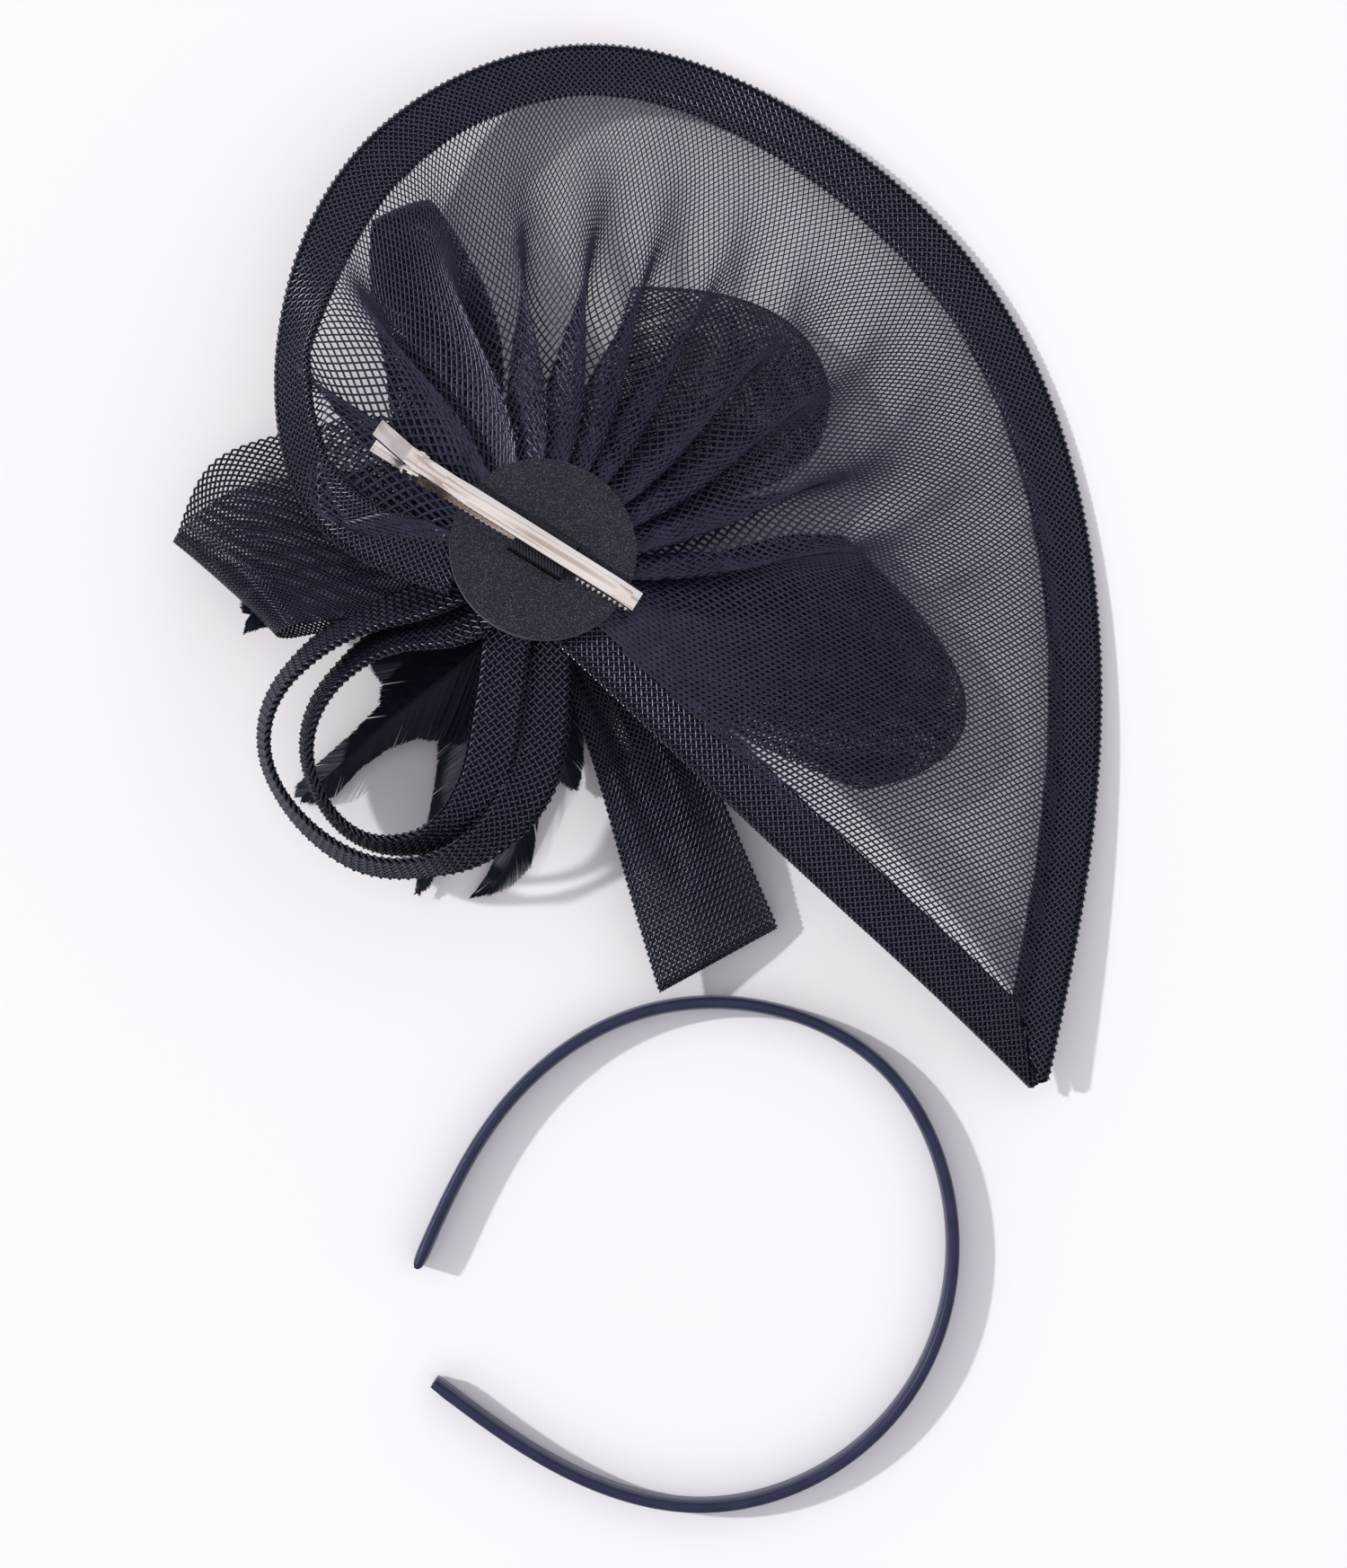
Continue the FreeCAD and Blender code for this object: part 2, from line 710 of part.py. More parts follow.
def make_tape_loop(label, centre, radius, away, back):
    """A flat tape swept round its loop, leaning by the same angle all the way."""
    middle = Vector(centre[0], centre[1], 0)
    start = Vector(away[0], away[1], 0)
    end = Vector(back[0], back[1], 0)
    leave = tangent_point(start, middle, radius, 1)
    come = tangent_point(end, middle, radius, -1)
    bottom = middle + Vector(0, -radius, 0)
    spine = Part.Wire(
        [
            Part.LineSegment(start, leave).toShape(),
            Part.Arc(leave, bottom, come).toShape(),
            Part.LineSegment(come, end).toShape(),
        ]
    )
    along = (leave - start).normalize()
    outward = Z_AXIS.cross(along)
    lean = math.radians(size("tape_lean"))
    broad = outward * math.cos(lean) + Z_AXIS * math.sin(lean)
    thin = along.cross(broad)
    half_width = size("tape_width") / 2
    half_thick = size("tape_thickness") / 2
    signs = [(-1, -1), (1, -1), (1, 1), (-1, 1)]
    corners = [start + broad * (a * half_width) + thin * (b * half_thick) for a, b in signs]
    section = Part.makePolygon(corners + corners[:1])
    sweep = Part.BRepOffsetAPI.MakePipeShell(spine)
    sweep.setBiNormalMode(Z_AXIS)
    sweep.add(section)
    sweep.build()
    sweep.makeSolid()
    tape = sweep.shape()
    add_solid(label, tape.transformed(TAPE_PLANE.toMatrix(), True), PAD)


# ---------------------------------------------------------------- feathers, knot and stitching

# Each feather is a flat vane from beside the knot down to the table.  Its outline starts at the
# quill's end, with X along the feather.
FEATHERS = {
    "left_feather": dict(
        heading=247,
        level=-24.0,
        pitch=26.0,
        outline=[(12, 0), (24, -15), (42, -17), (56, -9), (68, -6), (60, 3), (45, 9), (25, 8)],
    ),
    "middle_feather": dict(
        heading=277,
        level=-25.6,
        pitch=23.4,
        outline=[(12, 0), (30, -5), (60, -4), (86, 1), (60, 4), (30, 5)],
    ),
    "right_feather": dict(
        heading=294,
        level=-27.4,
        pitch=22.6,
        outline=[(12, 0), (30, -6), (58, -5), (80, -10), (62, 3), (48, 8), (28, 7)],
    ),
}


def make_feather(label, heading, level, pitch, outline):
    """A thin flat vane at its own slope."""
    vane = Part.Face(smooth_outline(outline)).extrude(Vector(0, 0, -size("vane_thickness")))
    lay = Placement(Vector(0, 0, level), Rotation(Z_AXIS, heading) * Rotation(Y_AXIS, pitch))
    add_solid(label, vane, PAD.multiply(lay))


def make_stitching():
    """The bundle of sewing thread that goes down through every gathered root."""
    bundle = doc.addObject("Part::Cylinder", "centre_stitching")
    bundle.Label = "centre_stitching"
    bundle.setExpression("Radius", "Sizes.stitch_radius")
    bundle.setExpression("Height", "Sizes.stitch_top - Sizes.knot_top")
    bundle.Placement = PAD.multiply(Placement(Vector(0, 0, size("knot_top")), Rotation()))
    subparts.append(bundle)


def make_knot():
    """Round wrapped knot that covers the sewn roots on the ornament side."""
    body = new_body("front_knot", PAD)
    radius = size("knot_radius")
    top = size("knot_top")
    height = size("knot_height")
    half = new_sketch(body, "knot_half", "XZ_Plane")
    shoulder = 3.5
    draw_polygon(
        half,
        [
            (0, top),
            (radius - shoulder, top),
            (radius, top - shoulder),
            (radius, top - height + shoulder),
            (radius - shoulder, top - height),
            (0, top - height),
        ],
    )
    turned = body.newObject("PartDesign::Revolution", "knot_turn")
    turned.Profile = half
    turned.ReferenceAxis = (half, ["V_Axis"])
    turned.Angle = 360.0
    doc.recompute()


# ---------------------------------------------------------------- headband

# Centre line of the headband, lying on its edge on the table, from the middle of its ring.
BAND_LINE = [
    (-71.8, -3.8),
    (-48.2, 38.4),
    (-18.9, 58.7),
    (14.4, 61.0),
    (44.6, 45.8),
    (61.7, 3.2),
    (52.0, -33.2),
    (28.1, -55.6),
    (-1.9, -63.2),
    (-32.1, -55.6),
    (-67.5, -32.4),
]


def band_sweep(curve, thickness, height, base):
    """A rounded flat bar swept along a level curve, standing on its edge."""
    spine = Part.Wire(curve.toShape())
    start = curve.value(curve.FirstParameter)
    along = curve.tangent(curve.FirstParameter)[0]
    outward = Z_AXIS.cross(along)
    half = thickness / 2
    crown = 0.3 * thickness
    low = Z_AXIS * base
    high = Z_AXIS * (base + height)
    middle = Z_AXIS * (base + height / 2)
    corners = [start + outward * a + b for a in (-half + crown, half - crown) for b in (low, high)]
    edges = [
        Part.LineSegment(corners[0], corners[2]).toShape(),
        Part.Arc(corners[2], start + outward * half + middle, corners[3]).toShape(),
        Part.LineSegment(corners[3], corners[1]).toShape(),
        Part.Arc(corners[1], start - outward * half + middle, corners[0]).toShape(),
    ]
    sweep = Part.BRepOffsetAPI.MakePipeShell(spine)
    sweep.setBiNormalMode(Z_AXIS)
    sweep.add(Part.Wire(edges))
    sweep.build()
    sweep.makeSolid()
    return sweep.shape()


def make_headband():
    """Springy plastic core, and the satin cover that wraps it and closes over its ends."""
    line = plan_curve(BAND_LINE)
    skin = size("cover_thickness")
    core_line = plan_curve(BAND_LINE)
    inset = size("core_inset")
    first = line.parameterAtDistance(inset, line.FirstParameter)
    last = line.parameterAtDistance(-inset, line.LastParameter)
    core_line.segment(first, last)
    core_thickness = size("band_thickness") - 2 * skin
    core_height = size("band_height") - 2 * skin
    core = band_sweep(core_line, core_thickness, core_height, skin)
    whole = band_sweep(line, size("band_thickness"), size("band_height"), 0.0)
    add_solid("headband_core", core, BAND)
    add_solid("headband_cover", whole.cut(core), BAND)


# ---------------------------------------------------------------- build, check and write


make_felt_base()
make_strap()
make_lower_jaw()
make_upper_jaw()
make_pivot_pin()
make_spring()
make_leaf()
for loop_label, loop in LOOPS.items():
    make_loop(loop_label, **loop)
for tape_label, tape_loop in TAPES.items():
    make_tape_loop(tape_label, **tape_loop)
for feather_label, feather in FEATHERS.items():
    make_feather(feather_label, **feather)
make_stitching()
make_knot()
make_headband()
doc.recompute()

for item in doc.Objects:
    if "Invalid" in item.State or "Error" in item.State:
        raise RuntimeError(f"{item.Name} failed: {item.State}")
for item in subparts:
    if item.Shape.isNull() or not item.Shape.isValid():
        raise RuntimeError(f"{item.Label} has no valid shape")
    if len(item.Shape.Solids) != 1:
        raise RuntimeError(f"{item.Label} has {len(item.Shape.Solids)} solids")

os.makedirs("parts", exist_ok=True)
whole_box = FreeCAD.BoundBox()
for item in subparts:
    item.Shape.exportStep(os.path.join("parts", f"{item.Label}.step"))
    whole_box.add(item.Shape.BoundBox)
    box = item.Shape.BoundBox
    print(
        f"{item.Label:18s} volume {item.Shape.Volume:9.1f}"
        f"  x {box.XMin:7.1f} {box.XMax:7.1f}"
        f"  y {box.YMin:7.1f} {box.YMax:7.1f}"
        f"  z {box.ZMin:6.2f} {box.ZMax:6.2f}"
    )
print("whole", whole_box)
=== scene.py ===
"""Looks of the looped sinamay fascinator and its satin headband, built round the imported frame."""

import math

import bpy
import numpy as np
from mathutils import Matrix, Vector


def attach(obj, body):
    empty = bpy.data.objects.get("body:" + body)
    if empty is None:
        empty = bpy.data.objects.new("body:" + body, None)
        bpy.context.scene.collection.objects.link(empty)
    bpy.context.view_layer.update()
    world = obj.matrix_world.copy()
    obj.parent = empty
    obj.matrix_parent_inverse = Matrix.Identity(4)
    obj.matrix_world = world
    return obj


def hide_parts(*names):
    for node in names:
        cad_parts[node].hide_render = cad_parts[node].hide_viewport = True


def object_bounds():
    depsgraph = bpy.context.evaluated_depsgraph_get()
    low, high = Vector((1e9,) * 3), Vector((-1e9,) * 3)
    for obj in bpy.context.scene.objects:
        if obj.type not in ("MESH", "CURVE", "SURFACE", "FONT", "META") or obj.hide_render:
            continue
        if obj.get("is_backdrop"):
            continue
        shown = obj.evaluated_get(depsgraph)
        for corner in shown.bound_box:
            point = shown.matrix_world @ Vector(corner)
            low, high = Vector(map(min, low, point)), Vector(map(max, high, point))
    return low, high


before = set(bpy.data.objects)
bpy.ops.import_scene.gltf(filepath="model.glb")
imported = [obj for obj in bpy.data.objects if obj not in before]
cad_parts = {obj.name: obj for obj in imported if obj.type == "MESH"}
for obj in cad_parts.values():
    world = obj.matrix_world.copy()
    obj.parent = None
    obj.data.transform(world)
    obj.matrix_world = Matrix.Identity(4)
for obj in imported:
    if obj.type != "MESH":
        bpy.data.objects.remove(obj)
CAD_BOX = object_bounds()

MM = 0.001
SEED = 7

# The pad frame: x and y lie in the felt pad's face and z rises out of it, in millimetres.
PAD_ORIGIN = np.array([-23.0, 53.8, 41.4])
PAD_TURN, PAD_TIP = math.radians(-31.5), math.radians(-15.0)


def turned(axis, angle):
    """A rotation matrix about one of the axes 0, 1 or 2."""
    a, b = (axis + 1) % 3, (axis + 2) % 3
    m = np.eye(3)
    m[a, a] = m[b, b] = math.cos(angle)
    m[a, b], m[b, a] = -math.sin(angle), math.sin(angle)
    return m


PAD_AXES = turned(2, PAD_TURN) @ turned(0, PAD_TIP)


def to_row(points):
    """Pad frame points in millimetres, taken to the row frame in metres."""
    return (np.asarray(points) @ PAD_AXES.T + PAD_ORIGIN) * MM


# ---- camera, floor and lights

VIEW_CENTRE = (0.0081, -0.0025)
VIEW_HEIGHT = 0.9
VIEW_TALL = 0.39285
SENSOR = 36.0

camera = bpy.data.objects.new("camera", bpy.data.cameras.new("camera"))
bpy.context.scene.collection.objects.link(camera)
camera.location = (*VIEW_CENTRE, VIEW_HEIGHT)
camera.data.sensor_width = SENSOR
camera.data.lens = SENSOR * VIEW_HEIGHT / VIEW_TALL
bpy.context.scene.camera = camera


def shader_of(made):
    return made.node_tree.nodes["Principled BSDF"]


def material(name, **values):
    """A new node material, with its Principled shader's sockets set by name."""
    made = bpy.data.materials.new(name)
    made.use_nodes = True
    for socket, value in values.items():
        shader_of(made).inputs[socket.replace("_", " ")].default_value = value
    return made


def node(made, kind, **settings):
    """A new node in a material, with its sockets or properties set."""
    new = made.node_tree.nodes.new(kind)
    for key, value in settings.items():
        socket = new.inputs.get(key.replace("_", " ")) if key[0].isupper() else None
        if socket is not None:
            socket.default_value = value
        else:
            setattr(new, key, value)
    return new


def link(made, source, target):
    """Joins one node's output to another's input."""
    made.node_tree.links.new(source, target)


def colours(made, factor, stops):
    """A colour ramp on a factor, with (position, colour) stops."""
    ramp = node(made, "ShaderNodeValToRGB")
    link(made, factor, ramp.inputs["Fac"])
    elements = ramp.color_ramp.elements
    while len(elements) < len(stops):
        elements.new(0.5)
    for element, (position, colour) in zip(elements, stops):
        element.position = position
        element.color = (*colour, 1.0)
    return ramp.outputs["Color"]


def spread_value(made, factor, low, high):
    """A factor of 0 to 1 mapped onto low to high."""
    mapped = node(made, "ShaderNodeMapRange")
    mapped.inputs["To Min"].default_value = low
    mapped.inputs["To Max"].default_value = high
    link(made, factor, mapped.inputs["Value"])
    return mapped.outputs["Result"]


def noise(made, scale, detail=3.0, stretch=1.0, heading=0.0):
    """Noise in the row frame, with scale in cycles per metre, drawn out along a heading."""
    where = node(made, "ShaderNodeTexCoord")
    mapping = node(made, "ShaderNodeMapping", vector_type="TEXTURE")
    mapping.inputs["Scale"].default_value = (stretch, 1, 1)
    mapping.inputs["Rotation"].default_value = (0, 0, heading)
    link(made, where.outputs["Object"], mapping.inputs["Vector"])
    texture = node(made, "ShaderNodeTexNoise", Scale=scale, Detail=detail)
    link(made, mapping.outputs["Vector"], texture.inputs["Vector"])
    return texture.outputs["Fac"]


def tint(made, factor, stops):
    """A base colour that follows a factor."""
    link(made, colours(made, factor, stops), shader_of(made).inputs["Base Color"])


def roughen(made, factor, low, high):
    """A roughness that follows a factor."""
    link(made, spread_value(made, factor, low, high), shader_of(made).inputs["Roughness"])


def bump(made, height, distance, strength=1.0):
    """A bumped surface, where distance is the bumps' height in metres."""
    bumped = node(made, "ShaderNodeBump", Distance=distance, Strength=strength)
    link(made, height, bumped.inputs["Height"])
    link(made, bumped.outputs["Normal"], shader_of(made).inputs["Normal"])


floor_mesh = bpy.data.meshes.new("floor")
floor_mesh.from_pydata([(-2, -2, 0), (2, -2, 0), (2, 2, 0), (-2, 2, 0)], [], [(0, 1, 2, 3)])
floor = bpy.data.objects.new("floor", floor_mesh)
bpy.context.scene.collection.objects.link(floor)
paper = material("paper", Base_Color=(0.86, 0.855, 0.90, 1.0), Roughness=0.9, Specular_IOR_Level=0.2)
floor.data.materials.append(paper)
floor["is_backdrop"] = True

SUN_FROM = (-0.80, 0.24, 0.70)
sun = bpy.data.objects.new("sun", bpy.data.lights.new("sun", "SUN"))
sun.data.energy = 1.9
sun.data.angle = math.radians(2.5)
sun.data.color = (1.0, 0.97, 0.93)
sun.rotation_mode = "QUATERNION"
sun.rotation_quaternion = Vector(SUN_FROM).to_track_quat("Z", "Y")
bpy.context.scene.collection.objects.link(sun)

# A pale room: bright overhead with two tan bands, and dimmer and warmer towards the horizon.
room = bpy.data.worlds.new("room")
room.use_nodes = True
direction = room.node_tree.nodes.new("ShaderNodeTexCoord")
parts = room.node_tree.nodes.new("ShaderNodeSeparateXYZ")
tones = room.node_tree.nodes.new("ShaderNodeValToRGB")
room.node_tree.links.new(direction.outputs["Generated"], parts.inputs["Vector"])
room.node_tree.links.new(parts.outputs["Z"], tones.inputs["Fac"])
ROOM_TONES = (
    (0.05, (0.36, 0.31, 0.29)),
    (0.55, (0.72, 0.71, 0.76)),
    (0.78, (0.90, 0.90, 0.96)),
    (0.815, (0.34, 0.25, 0.21)),
    (0.85, (0.95, 0.90, 0.90)),
    (0.885, (0.97, 0.93, 0.93)),
    (0.915, (0.42, 0.34, 0.31)),
    (0.955, (1.12, 1.12, 1.19)),
)
for position, colour in ROOM_TONES:
    stop = tones.color_ramp.elements.new(position)
    stop.color = (*colour, 1.0)
tones.color_ramp.elements.remove(tones.color_ramp.elements[0])
tones.color_ramp.elements.remove(tones.color_ramp.elements[-1])
backdrop = room.node_tree.nodes["Background"]
room.node_tree.links.new(tones.outputs["Color"], backdrop.inputs["Color"])
backdrop.inputs["Strength"].default_value = 1.02
bpy.context.scene.world = room
bpy.context.scene.view_settings.view_transform = "Standard"


# ---- mesh building


class Line:
    """A smooth curve through points, read by distance along it."""

    def __init__(self, points, samples=1200):
        p = np.array(points, float)
        t = np.concatenate([[0], np.cumsum(np.linalg.norm(np.diff(p, axis=0), axis=1))])
        n, h = len(p), np.diff(t)
        rows, right = np.eye(n), np.zeros_like(p)
        for k in range(1, n - 1):
            rows[k, k - 1 : k + 2] = h[k - 1], 2 * (h[k - 1] + h[k]), h[k]
            right[k] = 6 * ((p[k + 1] - p[k]) / h[k] - (p[k] - p[k - 1]) / h[k - 1])
        bend = np.linalg.solve(rows, right)
        x = np.linspace(0, t[-1], samples)
        k = np.clip(np.searchsorted(t, x, side="right") - 1, 0, n - 2)
        a, b, g = (x - t[k])[:, None], (t[k + 1] - x)[:, None], h[k][:, None]
        self.points = (
            (bend[k] * b**3 + bend[k + 1] * a**3) / (6 * g)
            + (p[k] / g - bend[k] * g / 6) * b
            + (p[k + 1] / g - bend[k + 1] * g / 6) * a
        )
        steps = np.linalg.norm(np.diff(self.points, axis=0), axis=1)
        self.distance = np.concatenate([[0], np.cumsum(steps)])
        self.length = self.distance[-1]

    def at(self, distance):
        return np.stack([np.interp(distance, self.distance, c) for c in self.points.T], -1)

    def along(self, distance):
        step = 0.4
        near = np.clip(distance, step, self.length - step)
        return unit(self.at(near + step) - self.at(near - step))

    def nearest(self, point):
        gap = np.linalg.norm(self.points - np.array(point), axis=1)
        return self.distance[gap.argmin()]


def unit(v):
    return v / np.maximum(np.linalg.norm(v, axis=-1, keepdims=True), 1e-12)


def ease(x):
    x = np.clip(x, 0, 1)
    return x * x * (3 - 2 * x)


class Cloth:
    """Collects points and faces for one mesh, in the pad frame and in millimetres."""

    def __init__(self):
        self.points, self.faces, self.count = [], [], 0

    def add(self, points, *faces):
        for group in faces:
            self.faces.extend((np.asarray(group) + self.count).tolist())
        self.points.append(np.asarray(points, float))
        self.count += len(points)


def finished(name, cloth, made, place=to_row):
    """A smooth-shaded mesh object from what a Cloth holds."""
    mesh = bpy.data.meshes.new(name)
    mesh.from_pydata(place(np.concatenate(cloth.points)).tolist(), [], cloth.faces)
    mesh.polygons.foreach_set("use_smooth", [True] * len(mesh.polygons))
    mesh.materials.append(made)
    mesh.update()
    piece = bpy.data.objects.new(name, mesh)
    bpy.context.scene.collection.objects.link(piece)
    return piece


def sweep(cloth, rings):
    """A closed skin over rings of points, given as an array of ring, corner and axis."""
    count, around = rings.shape[:2]
    grid = np.arange(count * around).reshape(count, around)
    ahead = np.roll(grid, -1, 1)
    quads = np.stack([grid[:-1], ahead[:-1], ahead[1:], grid[1:]], -1).reshape(-1, 4)
    centre = np.full(around, count * around)
    caps = (
        np.stack([centre, ahead[0], grid[0]], 1),
        np.stack([centre + 1, grid[-1], ahead[-1]], 1),
    )
    cloth.add(np.vstack([rings.reshape(-1, 3), rings[[0, -1]].mean(1)]), quads, *caps)


# Half a strand's thickness is a share of half its width, up to a limit. Directions on a
# surface are read over a short step.
STRAND_FLAT, STRAND_THICKEST = 0.6, 0.14
READ_STEP = 0.15


def weave(cloth, place, span, inside, pitch, lean, width, rise, closed=True):
    """Plain weave as geometry: two families of strands that pass over and under each other.
    place maps cloth coordinates to points, lean is each family's normal angle in the cloth,
    width is a strand's and rise is how far it leaves the cloth's middle at a crossing."""
    s0, s1, w0, w1 = span
    waves = np.array([(math.cos(a) / p, math.sin(a) / p) for a, p in zip(lean, pitch)])
    corners = np.array([(s, w) for s in (s0, s1) for w in (w0, w1)]) @ waves.T
    low, high = np.floor(corners.min(0)), np.ceil(corners.max(0))
    i, j = np.meshgrid(*(np.arange(a, b + 1) for a, b in zip(low, high)), indexing="ij")
    back = np.linalg.inv(waves)
    s, w = back[0, 0] * i + back[0, 1] * j, back[1, 0] * i + back[1, 1] * j
    held = (s >= s0) & (s <= s1) & (w >= w0) & (w <= w1)
    held[held] = inside(s[held], w[held])
    index = np.full(held.shape, -1)
    index[held] = np.arange(held.sum())
    sh, wh = s[held], w[held]
    middle = place(sh, wh)
    normal = unit(np.cross(place(sh + READ_STEP, wh) - middle, place(sh, wh + READ_STEP) - middle))
    sign = np.where((i + j)[held] % 2 == 0, rise, -rise)
    half = (width(sh, wh) if callable(width) else np.full(len(sh), width))[:, None] / 2
    thick = np.minimum(STRAND_FLAT * half, STRAND_THICKEST)
    for direction, flip, grid in ((back[:, 1], 1, index), (back[:, 0], -1, index.T)):
        ahead = place(sh + direction[0] * READ_STEP, wh + direction[1] * READ_STEP) - middle
        side = unit(np.cross(normal, ahead)) * half
        core = middle + normal * (sign * flip)[:, None]
        up = normal * thick
        ring = np.stack([core - side - up, core + up, core + side - up], 1)
        a, b = grid[:, :-1].ravel(), grid[:, 1:].ravel()
        both = (a >= 0) & (b >= 0)
        a, b = a[both] * 3, b[both] * 3
        faces = [np.stack([a, a + 1, b + 1, b], 1), np.stack([a + 1, a + 2, b + 2, b + 1], 1)]
        if closed:
            faces.append(np.stack([a + 2, a, b, b + 2], 1))
            padded = np.pad(grid, ((0, 0), (1, 1)), constant_values=-1)
            here, before, after = padded[:, 1:-1], padded[:, :-2], padded[:, 2:]
            first = here[(here >= 0) & (before < 0) & (after >= 0)] * 3
            last = here[(here >= 0) & (after < 0) & (before >= 0)] * 3
            faces.append(np.stack([first + 2, first + 1, first], 1))
            faces.append(np.stack([last, last + 1, last + 2], 1))
        used = np.zeros(len(core) * 3, bool)
        for group in faces:
            used[group.ravel()] = True
        renumber = np.cumsum(used) - 1
        cloth.add(ring.reshape(-1, 3)[used], *(renumber[group] for group in faces if len(group)))


# ---- materials of the cloth

NAVY_GLOSS = (0.77, 0.80, 1.0, 1.0)


def strand_material(name, dark, light, rough, glint=0.45):
    """Dyed plant fibre: near black with a navy cast, a little uneven, with a waxy gloss."""
    made = material(name, Specular_IOR_Level=glint, Specular_Tint=NAVY_GLOSS)
    patches = noise(made, 260.0, 4.0)
    tint(made, patches, [(0.3, dark), (0.7, light)])
    fibre = noise(made, 2600.0, 2.0)
    roughen(made, fibre, *rough)
    return made


SINAMAY = strand_material("sinamay", (0.006, 0.0065, 0.017), (0.014, 0.015, 0.035), (0.16, 0.36))
LOOP_CLOTH = strand_material(
    "loop_sinamay", (0.004, 0.0045, 0.012), (0.010, 0.011, 0.026), (0.16, 0.34), 0.5
)
BINDING = strand_material("binding", (0.010, 0.011, 0.022), (0.016, 0.017, 0.034), (0.16, 0.32), 0.85)
TAPE = strand_material("tape", (0.006, 0.0065, 0.014), (0.013, 0.014, 0.030), (0.14, 0.30), 0.8)
# The inner layers of a folded strip, seen only between its outer strands. They are real cloth, but their
# colour is darker and duller than the strands' own: painted shade for the shade between the layers.
SHADED_LINING = strand_material("shaded_lining", (0.002, 0.002, 0.004), (0.004, 0.004, 0.007), (0.6, 0.8), 0.1)


# ---- leaf and bindings

RIM = Line(
    [(175, -40), (153, 18), (105, 90), (65, 119), (15, 132),
     (-58, 119), (-91, 66), (-80, 9), (-45, -23), (-13, -21)]
)
LOWER_EDGE = Line([(8, -16), (90, -30.5), (175, -40)])
LEAF_LEVEL, LEAF_DROOP = -3.6, 0.00128
TIP_DROOP, TIP_DROOP_FROM = 0.0014, 118.0
BINDING_WIDE, BINDING_THICK = 13.5, 1.5
TUCK = 4.0
ROOT_RADIUS = 15.0
ROOT_FROM, ROOT_TO = math.radians(-60.0), math.radians(237.0)
# Strand families on the leaf, as angles from the rim's direction, and their spacing.
LEAF_LEAN = (math.radians(-43.0), math.radians(35.0))
LEAF_PITCH = (1.163, 1.37)
LEAF_RISE = 0.12
# Strand width by rim distance: the cloth is opener round the top of the leaf.
LEAF_STRAND = ((0, 170, 250, 330, 420), (0.45, 0.43, 0.30, 0.30, 0.39))
STRAND_SLOPE = math.radians(45.0)
# Pleats: how far they reach from the root, how far they fold over as a share of their spacing,
# and their height. A softer swell carries on beyond them.
PLEAT_REACH, PLEAT_FOLD, PLEAT_TALL = 42.0, 0.66, 1.7
SWELL_FROM, SWELL_REACH, SWELL_TALL, SWELL_LAG = 14.0, 66.0, 1.9, 0.6
# How much wider a strand gets where it is pressed flat by the root.
ROOT_WIDENS = 1.2
FLAT_TO = 105.0
# Where the pleats' fold edges leave the pad, in degrees round it, from the tip side.
PLEATS = [-60, -36, -12, 17, 35, 54, 69, 88, 103, 117, 133, 150, 171, 192, 214, 237]
# Along the rim's lower left the binding turns on edge: (rim point, turn in degrees).
TURNS = [
    ((-58, 119), 0), ((-91, 66), 6), ((-87, 35), 24), ((-80, 9), 56),
    ((-62, -14), 50), ((-30, -24), 12), ((-13, -21), 0),
]
TURN_AT = [RIM.nearest(point) for point, _ in TURNS]
TURN_BY = [math.radians(angle) for _, angle in TURNS]


def drape(plan):
    """Height of the leaf's middle surface over a plan point."""
    beyond = np.maximum(plan[..., 0] - TIP_DROOP_FROM, 0.0)
    return LEAF_LEVEL - LEAF_DROOP * np.maximum(plan[..., 0], 0.0) ** 2 - TIP_DROOP * beyond**2


def left_of(along):
    return np.stack([-along[..., 1], along[..., 0]], -1)


def leaning(inward, angle):
    """Across and up directions of a strip that leans over by an angle."""
    c, s = np.cos(angle)[:, None], np.sin(angle)[:, None]
    return np.concatenate([inward * c, s], 1), np.concatenate([-inward * s, c], 1)


def rim_turn(s):
    """How far the rim's binding is turned on edge, in radians."""
    return np.interp(s, TURN_AT, TURN_BY)


def root_of(s):
    """Where the spoke from a rim distance ends, and its angle round the pad. The spokes run
    to the gathers round the pad, and side by side over the flat cloth towards the tip."""
    fan = np.maximum(s, FLAT_TO)
    angle = ROOT_FROM + (ROOT_TO - ROOT_FROM) * fan / RIM.length
    root = np.stack([np.cos(angle), np.sin(angle)], -1) * ROOT_RADIUS
    return root + RIM.at(s) - RIM.at(fan), angle


# How much narrower the gathered root is than the rim it was cut from.
ROOT_SHARE = ROOT_RADIUS * (ROOT_TO - ROOT_FROM) / RIM.length


def sheared_depth():
    """Depth into the leaf as a share of its spoke, against depth in the cloth: where the
    spokes close up, the bias cloth shears, so it grows longer along them."""
    share = np.linspace(0, 1, 200)
    across = 1 - (1 - ROOT_SHARE) * share
    stretch = np.sqrt(1 - (across * math.sin(STRAND_SLOPE)) ** 2) / math.cos(STRAND_SLOPE)
    cloth = np.concatenate([[0], np.cumsum(np.diff(share) * 2 / (stretch[1:] + stretch[:-1]))])
    return share, cloth


DEPTH_SHARE, DEPTH_CLOTH = sheared_depth()


# The least share of a spoke that counts as square to the rim.
LEAST_SQUARE = 0.3


def spoke_of(s):
    """The rim point, the direction from it to the root, the distance, and that direction's
    parts along the rim and square to it."""
    rim, along = RIM.at(s), RIM.along(s)
    root, angle = root_of(s)
    reach = np.linalg.norm(root - rim, axis=-1)
    ahead = unit(root - rim)
    slant = (ahead * along).sum(-1)
    square = np.maximum((ahead * left_of(along)).sum(-1), LEAST_SQUARE)
    return rim, ahead, reach, slant, square, angle


SPOKE_AT = np.linspace(0, RIM.length, 600)
_, _, _, SPOKE_SLANT, SPOKE_SQUARE, _ = spoke_of(SPOKE_AT)
